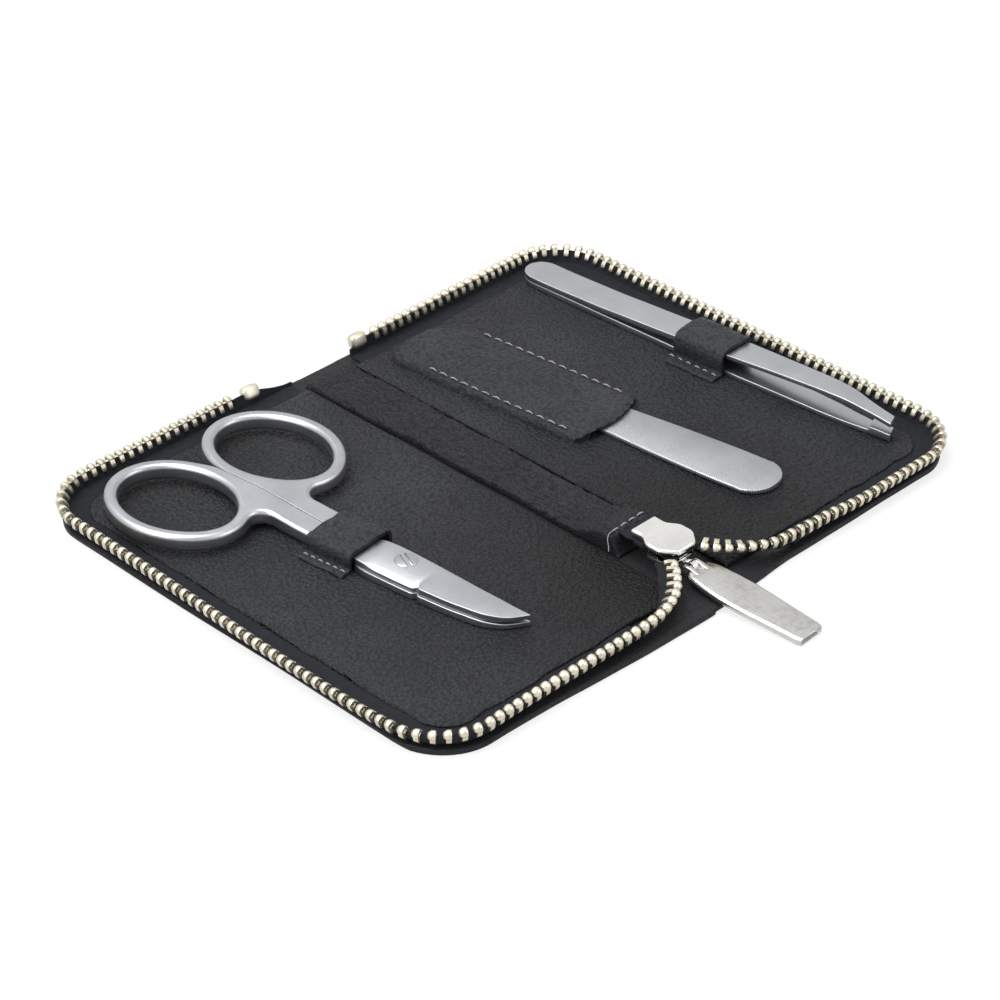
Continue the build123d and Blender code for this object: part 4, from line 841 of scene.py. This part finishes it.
def tab_parts():
    """The pull tab: a flattened tube, hung on the pin by two ears, with a shallow lens-shaped end. It is made
    lying level in front of the pin and then slopes down to the table."""
    v = np.r_[1.15, 1.3, 1.6, 2.1, 2.9, np.linspace(4.0, 26.5, 26), 27.4, 28.1, 28.45, TAB_LENGTH]
    half = curve(v, ((1.15, 2.2), (1.3, 2.7), (1.6, 3.1), (2.1, 3.4), (3.0, TAB_HALF), (TAB_LENGTH, TAB_HALF)))
    half = half - 0.35 * ease(v, 27.6, TAB_LENGTH)
    thick = 0.8 - 0.35 * (1 - ease(v, 1.15, 3.6))
    skin = bar(-v, -half, half, -thick, thick, 0.62, 6)
    skin[..., 2] += 0.16 * (1 - (skin[..., 0] / TAB_HALF) ** 2) * np.sign(skin[..., 2])
    rings = [skin]
    for scale, back in ((0.90, 0.0), (0.84, 0.15), (0.80, 0.7), (0.60, 1.0), (0.2, 1.1)):
        end = skin[-1] * (scale, 1.0, scale * 0.92)
        rings.append(xyz(end[:, 0], back - TAB_LENGTH, end[:, 2])[None])
    y = np.array((1.1, 0.95, 0.6, 0.0, -1.0, -2.0, -3.0, -4.0))
    high = np.array((0.25, 0.6, 0.95, 1.1, 1.05, 0.85, 0.8, 0.78))
    ears = [bar(y, low, low + 1.05, -high, high, 0.25) for low in (-1.9, 0.85)]
    c, s = np.cos(np.radians(TAB_SLOPE)), np.sin(np.radians(TAB_SLOPE))
    made = []
    for points in (np.concatenate(rings), *ears):
        x, y, z = np.moveaxis(points, -1, 0)
        made.append(loft(place(xyz(x, y * c - z * s, PIN_HEIGHT + z * c + y * s), TAB)))
    return made


# ---------------------------------------------------------------- tools


def handle_outline():
    """Hole and outer outline of one finger ring with its shank, matched point by point, about the ring's centre.
    The outer line is an ellipse, a fillet of 3 mm, the shank's straight side, its hidden end and the flat seam."""
    wide, seam, low, fillet = 7.77, 12.47, -32.3, 3
    a = np.linspace(0, 288.4, 88)
    t = np.radians(np.linspace(106, 0, 13)[1:])
    outer = np.vstack((
        np.column_stack((12.5 * np.cos(np.radians(a)), 15.75 * np.sin(np.radians(a)))),
        np.column_stack((wide - fillet + fillet * np.cos(t), -17.85 + fillet * np.sin(t))),
        np.column_stack((np.full(5, wide), np.linspace(-20, low, 5))),
        np.column_stack((np.linspace(wide, seam, 5)[1:], np.full(4, low))),
        np.column_stack((np.full(11, seam), np.linspace(low, 0, 12)[:-1] + 2.0)),
    ))
    spans = ((288.4, 320, 13), (321, 327, 5), (328, 331, 4), (332.5, 357.5, 11))
    b = np.radians(np.concatenate((a[:-1], *(np.linspace(*span) for span in spans))))
    hole = np.column_stack((9.85 * np.cos(b), 13.05 * np.sin(b)))
    soft = np.r_[0.06 + 0.89 * ease(a, 0, 24), np.repeat((0.9, 0.75, 0.3, 0.06), (12, 5, 4, 11))]
    return hole, outer, soft


def outwards(line):
    """Unit normals of a closed anticlockwise line."""
    edge = np.roll(line, -1, 0) - np.roll(line, 1, 0)
    return unit(np.column_stack((edge[:, 1], -edge[:, 0])))


def handle(side):
    """A finger ring and its shank as one ring-shaped skin: a rounded section from the hole to the outer line.
    The handle rises a little from the loop to the rings."""
    hole, outer, soft = handle_outline()
    out, away = outwards(outer), outwards(hole)
    a = np.linspace(0, QUARTER, 6)
    first, last = hole + away, outer - out * soft[:, None]
    rows = [(hole + away * (1 - np.cos(v)), 1 - np.sin(v)) for v in a]
    rows += [(first + (last - first) * t, 0) for t in np.linspace(0, 1, 10)[1:-1]]
    rows += [(outer - out * (soft * (1 - np.cos(v)))[:, None], soft * (1 - np.sin(v))) for v in a[::-1]]
    cy = 47.3 if side < 0 else 44.7
    points = []
    for under, (flat, drop) in [(0, row) for row in rows] + [(1, row) for row in rows[::-1]]:
        x, y = flat.T
        rise = ease(y + cy, 18, 40)
        z = TOOL_BASE + 1.1 * rise + drop if under else 5.45 + 1.65 * rise - drop
        points.append(xyz((x - 12.55) * -side, y + cy, z))
    points = np.stack(points, 1)
    closed = np.concatenate((points, points[:1]))
    faces = grid(*closed.shape[:2]) % points[..., 0].size
    return place(points, SCISSORS).reshape(-1, 3), [faces]


def blade(side):
    """Blade and root of one half as one bar, which grows to the full height of the handle under the loop."""
    level = 4.0 if side < 0 else TOOL_BASE
    notch = np.array((-7.9, -7.6, -7.3, -7.0, -6.7, -6.4))
    y = np.r_[BLADE_TIP, -28.5, np.linspace(-27.8, -8.2, 30), notch, np.linspace(-6, 8, 18), np.linspace(8.6, 17, 14)]
    knots = ((-26.5, -2.2), (-23.8, -3.95), (-17, -5.35), (-9, -5.75), (4, -5.7), (8, -5.5), (12, -4.9), (17, -4.7))
    out = curve(y, ((BLADE_TIP, 0.9), *knots)) + 0.75 * np.exp(-(((y + 7.0) / 0.45) ** 2))
    if side > 0:
        out = out - 0.35 * ease(y, BLADE_TIP, -24) * (1 - ease(y, 5, 9))
    knots = ((-24, 1.15), (-20, 1.25), (-12, 1.9), (-4, 2.6), (3, 3.0), (5, 3.0), (8, 2.6), (12, -0.1), (17, -0.1))
    inner = np.where(y > 12, -0.1, curve(y, ((BLADE_TIP, 1.2), *knots)))
    full = ease(y, 7, 13)
    low = level - (level - 2.55) * full
    high = level + 1.45 + (5.4 - level - 1.45) * full - 0.5 * (1 - ease(y, BLADE_TIP, -20))
    mixed = ease(y, 8, 12) if side > 0 else 0.0
    low_x, high_x = out * (1 - mixed) - inner * mixed, inner * (1 - mixed) - out * mixed
    facet = 0.95 * ease(y, -7.6, -6.6) * (1 - ease(y, 3, 6)) if side < 0 else 0.0
    return loft(place(bar(y, low_x, high_x, low, high, 0.15 + 0.6 * full, 6, facet), SCISSORS))


def screw_parts():
    """The pivot screw: a round head whose top is two half-discs with a slot between them."""
    a = np.linspace(0, TURN, 48, endpoint=False)
    head = np.column_stack((np.cos(a), np.sin(a))) * 2.3
    parts = [plate(head, ((0.4, 4.6), (0.0, 4.7), (0.0, 5.25)))]
    b = np.linspace(-QUARTER, QUARTER, 25)
    half = np.column_stack((0.3 + 1.99 * np.cos(b), 2.24 * np.sin(b)))
    for turn in np.radians((150, 330)):
        c, s = np.cos(turn), np.sin(turn)
        parts.append(plate(half @ np.array(((c, s), (-s, c))), ((0.0, 5.2), (0.0, 5.5), (0.08, 5.6), (0.3, 5.66))))
    return [(place(points, SCISSORS), faces) for points, faces in parts]


def tweezer_width(v):
    """Half-width of the tweezers along their length: a round welded end, then a slow taper to the claws."""
    knots = ((0, 3.85), (25, 3.8), (40, 3.75), (57, 3.6), (64, 3.38), (70, 3.12), (77, 2.88), (84, 2.6))
    body = curve(v, (*knots, (91, 2.0), (95, 1.6), (99, 1.42)))
    return body * np.sqrt(np.clip(1 - np.clip(1 - (v + 0.03) / 4.2, 0, 1) ** 2, 0.001, 1))


def tweezer_arm(upper):
    """One arm as a flat bar along the tweezers: the upper one rises from the weld and bends back at the tip,
    where the lower one carries a raised claw."""
    start, claw = (0.0, 0.1, 0.3, 0.6, 1.0, 1.6), (93.9, 94.0, 94.4)
    v = np.r_[start, np.linspace(2.4, 84, 70), np.linspace(85, 93.6, 12), claw, np.linspace(95, 98.4, 5), 98.8, 99.0]
    half = tweezer_width(v)
    thick = 1.25 - 0.25 * ease(v, 40, 62)
    if upper:
        rise = ((0, 0), (10, 0), (17, 0.2), (25, 0.45), (31, 0.8), (37, 1.1), (50, 1.9), (57.5, 2.4), (64, 2.8))
        high = 5.0 + curve(v, (*rise, (70, 3.15), (77, 3.5), (84, 3.75), (89, 3.6), (93, 3.0), (99, 2.1)))
        low = high - thick
    else:
        low = TOOL_BASE + 0.35 * ease(v, 90, 99)
        high = TOOL_BASE + thick + 0.15 * ease(v, 88, 93) + 0.75 * ease(v, 93.85, 94.05)
    points = bar(-v, -half, half, low, high, 0.14, 4)
    points[..., 1] += 0.4 * ease(v, 86, 93)[:, None] * points[..., 0]
    return loft(place(points, TWEEZERS))


def nail_file():
    """The file: a flat blade with a half-ellipse end, narrower where it enters the pocket, and a hidden tang."""
    straight = FILE_END - FILE_ROUND
    end = FILE_END - FILE_ROUND * (1 - np.sin(np.linspace(0.15, QUARTER, 14)))
    v = np.r_[-46.0, -45, -40, -20, -4, np.linspace(-2, straight, 30), end]
    half = curve(v, ((-46, 3.6), (-20, 4.2), (0, 4.9), (14, 5.7), (30, 6.1), (34, FILE_HALF)))
    past = np.clip((v - straight) / FILE_ROUND, 0, 1)
    half = np.where(v > straight, FILE_HALF * np.sqrt(1 - past**2) + 0.15, half)
    return loft(place(bar(-v, -half, half, TOOL_BASE, TOOL_BASE + 1.0, 0.3, 4), FILE))


# ---------------------------------------------------------------- loops and pocket


# Section of each loop round its tool: x, z and rounding of each corner.
SCISSORS_LOOP = (
    *((-9.0, 2.4, 0.1), (-9.0, 3.05, 0.3), (-6.7, 3.1, 0.3), (-6.95, 6.65, 2.0), (5.75, 6.45, 2.2)),
    *((5.7, 2.4, 0.1), (4.95, 2.4, 0.1), (5.0, 5.7, 1.2), (-6.15, 5.85, 1.2), (-5.95, 2.4, 0.1)),
)
TWEEZERS_LOOP = (
    *((-8.0, 2.4, 0.1), (-8.0, 3.0, 0.3), (-4.9, 3.1, 0.4), (-5.75, 8.75, 4.2), (5.45, 8.4, 3.0)),
    *((5.0, 2.4, 0.1), (4.2, 2.4, 0.1), (4.55, 7.65, 2.0), (-4.85, 7.95, 2.9), (-4.15, 2.4, 0.1)),
)


def loop(corners, along, where, bulge):
    """A leather loop: its closed section is carried along the tool, fuller in the middle, with worn raw edges."""
    corners = np.array(corners)
    x, z = even(rounded(corners[:, :2], corners[:, 2]), 96, True).T
    t = np.linspace(0, 1, 26)[:, None]
    y = along[0] + (along[1] - along[0]) * (0.5 - 0.5 * np.cos(np.pi * t))
    crown = ease(z, 5.0, 6.6)
    rise = bulge * np.sin(np.pi * t) ** 0.6 * crown + 0.10 * np.sin(x * 1.1 + y * 0.8) * crown
    sway = 0.10 * np.sin(y * 0.9) * np.sign(x - x.mean())
    worn = 0.06 * (np.sin(x * 3.1 + z * 2.3) + 0.6 * np.sin(x * 7.7))
    return loft(place(xyz(x + sway, y + worn * np.cos(np.pi * t) ** 9, z + rise), where))


def pocket():
    """The file's pocket: a padded leaf over a tunnel, sunk along its two rows of stitches, with a bulged mouth.
    The leaf's height grows from its edge as one less an exponential, and each seam is a bell-shaped dip."""
    v = np.r_[0.0, 0.15, 0.45, 0.9, np.linspace(1.6, 48.6, 70), 49.4, 50.0, 50.5, 50.85, 51.0][:, None]
    u = np.linspace(-1, 1, 61)
    end = ease(v, 49.6, 51.0)
    right = 10.9 - 7.0 * np.clip((v - 45) / 6, 0, 1) ** 1.1 - 0.6 * end
    left = 0.5 * ease(v, 20, 50) - 10.2 + 2.6 * np.clip((v - 47.5) / 3.5, 0, 1) ** 2.2
    x = (left + right) / 2 + (right - left) / 2 * np.sign(u) * (1 - (1 - np.abs(u)) ** 1.5)
    inside = np.minimum(x - left, right - x)
    puff = 1 - np.exp(-inside / 0.42)
    sink = 0.38 * np.exp(-(((inside - 1.55) / 0.5) ** 2))
    body = 2.05 + 0.45 * ease(inside, 1.8, 5.0) - 0.25 * ease(np.abs(x), 4.2, 6.2)
    body = body + 0.06 * np.sin(x * 0.9 + v * 0.37) + 0.05 * np.sin(v * 0.9 - x * 0.5)
    rise = (body * puff - sink) * (1 - 0.75 * end) * (0.82 + 0.18 * ease(v, 0, 1.2))
    bulge = lambda x: 2.9 * (1 - (x / 10.2) ** 2) * (1 - ease(v, 0, 10))
    rough = 0.14 * (np.sin(x * 2.3) + 0.6 * np.sin(x * 5.9 + 1)) * (1 - ease(v, 0, 2))
    outer = xyz(x, v - bulge(x) + rough, LINING_TOP + rise)
    w = np.linspace(1, -1, 21)
    roof = 1.35 * (1 - ease(v, 46.5, 48.5)) + 0.25 * (1 - ease(v, 0, 4))
    x = 6.9 * np.sign(w) * (1 - (1 - np.abs(w)) ** 1.6) * (1 - 0.45 * ease(v, 44, 50))
    inner = xyz(x, v - bulge(x), LINING_TOP + 0.01 + roof * (1 - np.abs(w) ** 8) ** 0.5)
    return loft(place(np.concatenate((outer, inner), 1), POCKET))


# ---------------------------------------------------------------- operators


def stand_at(name, data, spot, right, back):
    """A lamp or camera at a spot, whose own axes point right and back."""
    made = bpy.data.objects.new(name, data)
    turn = Matrix(np.column_stack((right, np.cross(back, right), back)).tolist()).to_4x4()
    made.matrix_world = Matrix.Translation(np.array(spot).tolist()) @ turn
    bpy.context.scene.collection.objects.link(made)
    return made


def white_to_eye(tree, output, plain, kind, rays, share):
    """Shows a surface as plain white, by the given share, to the rays that look at it, and as it is to the others."""
    path = add(tree, "LightPath").outputs
    seen = path["Is Camera Ray"]
    for ray in rays:
        seen = maths(tree, "MAXIMUM", seen, path[ray])
    white = add(tree, kind, {"Color": (1.0, 1.0, 1.0, 1.0), "Strength": 1.0}).outputs[0]
    mixed = {0: maths(tree, "MULTIPLY", seen, share), 1: plain.outputs[0], 2: white}
    feed(tree, tree.nodes[output], {"Surface": add(tree, "MixShader", mixed).outputs[0]})


class CASE_OT_stage(bpy.types.Operator):
    """Makes the table top, the studio light and the camera"""

    bl_idname = "manicure_case.stage"
    bl_label = "Stage"

    def execute(self, context):
        scene, stage = context.scene, context.scene.case_stage
        scene.view_settings.view_transform = "Standard"
        self.make_floor(scene, stage)
        self.make_world(scene)
        self.make_lamps()
        self.make_camera(scene, stage)
        return {"FINISHED"}

    def make_floor(self, scene, stage):
        mesh = bpy.data.meshes.new("table_top")
        mesh.from_pydata([(-3, -3, 0), (3, -3, 0), (3, 3, 0), (-3, 3, 0)], [], [(0, 1, 2, 3)])
        made, tree, shader, _ = material("table top")
        feed(tree, shader, {"Base Color": (*stage.floor, 1.0), "Roughness": 0.9, "Specular IOR Level": 0.0})
        white_to_eye(tree, "Material Output", shader, "Emission", ("Is Glossy Ray",), 0.72)
        mesh.materials.append(made)
        floor = bpy.data.objects.new("table_top", mesh)
        scene.collection.objects.link(floor)

    def make_world(self, scene):
        scene.world = bpy.data.worlds.new("studio")
        scene.world.use_nodes = True
        tree = scene.world.node_tree
        soft = feed(tree, tree.nodes["Background"], {"Color": (1.0, 1.0, 1.0, 1.0), "Strength": 0.38})
        rays = ("Is Glossy Ray", "Is Transmission Ray")
        white_to_eye(tree, "World Output", soft, "Background", rays, 1.0)

    def make_lamps(self):
        for name, spot, size_, power in (
            ("lamp_over", (-0.15, 0.25, 0.9), 0.8, 9.0),
            ("lamp_left", (-0.75, 0.1, 0.55), 0.6, 4.5),
            ("lamp_front", (0.35, -0.75, 0.6), 0.6, 3.0),
        ):
            lamp = bpy.data.lights.new(name, "AREA")
            lamp.size, lamp.energy = size_, power
            back = unit(np.array(spot))
            stand_at(name, lamp, spot, unit(np.cross((0, 1, 0), back)), back)

    def make_camera(self, scene, stage):
        az, el, roll = stage.azimuth, stage.elevation, stage.roll
        back = np.array((np.sin(az) * np.cos(el), -np.cos(az) * np.cos(el), np.sin(el)))
        level = np.array((np.cos(az), np.sin(az), 0.0))
        right = np.cos(roll) * level + np.sin(roll) * np.cross(back, level)
        camera = bpy.data.cameras.new("camera")
        camera.lens, camera.sensor_width = stage.lens, 36.0
        scene.camera = stand_at("camera", camera, np.array(stage.target) + back * stage.distance, right, back)


class CASE_OT_covers(bpy.types.Operator):
    """Makes the outer leather: two covers and the spine between them"""

    bl_idname = "manicure_case.covers"
    bl_label = "Covers"

    def execute(self, context):
        for side, name in SIDES:
            fold = over_fold(side, *((x, 0, COVER_TOP) for x in SPINE_EDGES))
            piece(f"{name}_cover_leather", [cover(side)], fold, "cover leather", [f"{name}_cover"])
        half = SPINE_EDGES[0] + 0.4
        spine = leaf(np.linspace(-half, half, 9), -59.0, COVER_EDGE[1], 0.0, COVER_TOP - 0.04, 0.45)
        piece("spine_cover_leather", [loft(spine)], "spine", "cover leather", ["spine_cover"])
        return {"FINISHED"}


class CASE_OT_linings(bpy.types.Operator):
    """Makes the lining of each half over its board"""

    bl_idname = "manicure_case.linings"
    bl_label = "Linings"

    def execute(self, context):
        for side, name in SIDES:
            nodes = f"{name}_lining", f"{name}_board"
            piece(f"{name}_lining_leather", [lining(side)], f"{name}_half", "lining leather", nodes)
        return {"FINISHED"}


class CASE_OT_strip(bpy.types.Operator):
    """Makes the ridged leather strip on the spine and the row of stitches at its near end"""

    bl_idname = "manicure_case.strip"
    bl_label = "Spine strip"

    def execute(self, context):
        hide = context.scene.case_leather
        strip = spine_strip(hide.ridge_pitch / MM, hide.ridge_height / MM)
        piece("spine_strip_leather", [strip], "spine", "strip leather", ["spine_strip"], 60)
        x = np.arange(4) * 2.4 - 4.4
        row = stitches(xyz(x, -31.9 + 0.05 * x, 5.72), (1.7, -0.1, 0.0), None, 0.17, 0.22)
        loose = ((-4.4, -32.0, 5.6), (-5.6, -32.2, 5.5), (-6.3, -32.6, 4.8), (-6.6, -33.2, 3.9), (-7.2, -33.8, 3.1))
        thread = loft(tube(even(loose, 14), np.full(14, 0.09)))
        piece("strip_thread", [row, thread], "spine", "thread", ["spine_strip_stitches"])
        return {"FINISHED"}


class CASE_OT_tapes(bpy.types.Operator):
    """Makes the woven zip tapes: the two walls, the two bends and the closed end under the slider"""

    bl_idname = "manicure_case.tapes"
    bl_label = "Zip tapes"

    def execute(self, context):
        for side, name in SIDES:
            part, flow = zip_tape(side)
            piece(f"{name}_wall_tape", [part], f"{name}_half", "zip tape", [f"{name}_zip_tape"], 50, flow)
            part, flow = bend_tape(side)
            fold = over_fold(side, *BEND_FOLD)
            piece(f"{name}_curved_tape", [part], fold, "zip tape", [f"{name}_bend_tape"], 50, flow)
        y = np.linspace(-47.0, -33.5, 24)
        part = loft(bar(y, 0.15 * np.sin(y * 2) - 3.9, 3.9 + 0.15 * np.sin(y * 2.3), 5.3, 5.7, 0.15))
        piece("closed_tape", [part], "spine", "zip tape", ["bottom_tape"], 50, part[0][:, [1, 0, 2]])
        return {"FINISHED"}


class CASE_OT_teeth(bpy.types.Operator):
    """Makes the zip teeth of both walls and both bends, and the stops"""

    bl_idname = "manicure_case.teeth"
    bl_label = "Zip teeth"

    def execute(self, context):
        zip_ = context.scene.case_zip
        sizes = zip_.pitch / MM, zip_.thickness / MM, zip_.sides
        for side, name in SIDES:
            half, fold = f"{name}_half", over_fold(side, *BEND_FOLD)
            piece(f"{name}_wall_teeth", rim_teeth(side, *sizes), half, "tooth metal", [f"{name}_teeth"], 60)
            piece(f"{name}_curved_teeth", bend_teeth(side, *sizes), fold, "tooth metal", [f"{name}_bend_teeth"], 60)
            piece(f"{name}_end_stop", [top_stop(side)], half, "tooth metal", [f"{name}_top_stop"], 60)
        return {"FINISHED"}


class CASE_OT_slider(bpy.types.Operator):
    """Makes the slider's plates; its crown keeps the frame's own shape"""

    bl_idname = "manicure_case.slider"
    bl_label = "Slider"

    def execute(self, context):
        piece("slider_plates", slider_parts(), "slider", "polished metal", ["slider_body"], 50)
        for name in ("slider_crown", "pull_tab_pin", "bottom_stop"):
            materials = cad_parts[name].data.materials
            materials.clear()
            materials.append(finish("polished metal"))
        return {"FINISHED"}


class CASE_OT_tab(bpy.types.Operator):
    """Makes the pull tab"""

    bl_idname = "manicure_case.tab"
    bl_label = "Pull tab"

    def execute(self, context):
        # The tab's metal is darkened as a painted reflection.
        piece("tab_plate", tab_parts(), "pull_tab", "tab metal", ["pull_tab"], 50)
        return {"FINISHED"}


class CASE_OT_scissors(bpy.types.Operator):
    """Makes the two halves of the scissors and their screw"""

    bl_idname = "manicure_case.scissors"
    bl_label = "Scissors"

    def execute(self, context):
        for side, name, body in ((-1, "upper", "scissors_upper"), (1, "lower", "scissors")):
            parts = [blade(side), handle(side)]
            piece(f"scissors_{name}_steel", parts, body, "satin steel", [f"scissors_{name}_half"], 40)
        piece("scissors_pivot_screw", screw_parts(), "scissors", "ground steel", ["scissors_screw"], 40)
        return {"FINISHED"}


class CASE_OT_tweezers(bpy.types.Operator):
    """Makes the two arms of the tweezers"""

    bl_idname = "manicure_case.tweezers"
    bl_label = "Tweezers"

    def execute(self, context):
        for name, body in (("upper", "tweezers_upper"), ("lower", "tweezers")):
            parts = [tweezer_arm(name == "upper")]
            piece(f"tweezers_{name}_steel", parts, body, "satin steel", [f"tweezers_{name}_arm"], 40)
        return {"FINISHED"}


class CASE_OT_file(bpy.types.Operator):
    """Makes the nail file"""

    bl_idname = "manicure_case.file"
    bl_label = "Nail file"

    def execute(self, context):
        piece("file_blade", [nail_file()], "nail_file", "file steel", ["nail_file"], 40)
        return {"FINISHED"}


class CASE_OT_holders(bpy.types.Operator):
    """Makes the pocket and the two loops, with their stitches"""

    bl_idname = "manicure_case.holders"
    bl_label = "Pocket and loops"

    def execute(self, context):
        piece("pocket_leather", [pocket()], "right_half", "strap leather", ["file_pocket"], 50)
        v = 3.0 + 2.9 * np.arange(13)
        starts = np.concatenate([xyz(x, v, 4.22) for x in (0.5 * ease(v, 20, 50) - 8.65, 9.35)])
        seams = [stitches(starts, (0.0, 1.9, 0.0), POCKET)]
        piece("pocket_thread", seams, "right_half", "thread", ["pocket_stitches"])
        shape = SCISSORS, SCISSORS_LOOP, (8.4, 19.6), 0.12
        self.add_loop("scissors", "left_half", *shape, (-7.5, 8.9, 3.1), 1.85, 1.2)
        shape = TWEEZERS, TWEEZERS_LOOP, (-58.6, -45.8), 0.1
        self.add_loop("tweezers", "right_half", *shape, (-5.7, -57.9, 3.08), 2.28, 1.3)
        return {"FINISHED"}

    def add_loop(self, name, half, where, corners, along, bulge, first, spacing, length):
        """One loop and its six stitches, which start at the first point and run along the tool."""
        x, y, z = first
        seam = stitches(xyz(x, y + spacing * np.arange(6), z), (0, length, 0), where)
        leather_loop = [loop(corners, along, where, bulge)]
        piece(f"{name}_loop_leather", leather_loop, half, "strap leather", [f"{name}_loop"], 50)
        piece(f"{name}_loop_thread", [seam], half, "thread", [f"{name}_loop_stitches"])


class CASE_PT_panel(bpy.types.Panel):
    """Lists the settings and the pieces of the case"""

    bl_idname = "CASE_PT_panel"
    bl_label = "Manicure case"
    bl_space_type = "VIEW_3D"
    bl_region_type = "UI"
    bl_category = "Manicure case"

    def draw(self, context):
        for key, settings in SETTINGS.items():
            box = self.layout.box()
            box.label(text=key.replace("case_", "").capitalize())
            for name in settings.__annotations__:
                box.prop(getattr(context.scene, key), name)
        for kind in PIECES:
            self.layout.operator(kind.bl_idname)


SETTINGS = {
    "case_leather": LeatherSettings,
    "case_zip": ZipSettings,
    "case_tools": ToolSettings,
    "case_stage": StageSettings,
}
PIECES = (
    *(CASE_OT_stage, CASE_OT_covers, CASE_OT_linings, CASE_OT_strip, CASE_OT_tapes, CASE_OT_teeth),
    *(CASE_OT_slider, CASE_OT_tab, CASE_OT_scissors, CASE_OT_tweezers, CASE_OT_file, CASE_OT_holders),
)


def register():
    for kind in (*SETTINGS.values(), *PIECES, CASE_PT_panel):
        bpy.utils.register_class(kind)
    for key, settings in SETTINGS.items():
        setattr(bpy.types.Scene, key, PointerProperty(type=settings))


def unregister():
    for key in SETTINGS:
        delattr(bpy.types.Scene, key)
    for kind in (CASE_PT_panel, *reversed(PIECES), *SETTINGS.values()):
        bpy.utils.unregister_class(kind)


def main():
    """Makes every piece in order."""
    register()
    for kind in PIECES:
        getattr(bpy.ops.manicure_case, kind.bl_idname.split(".")[1])()


if __name__ == "__main__":
    main()
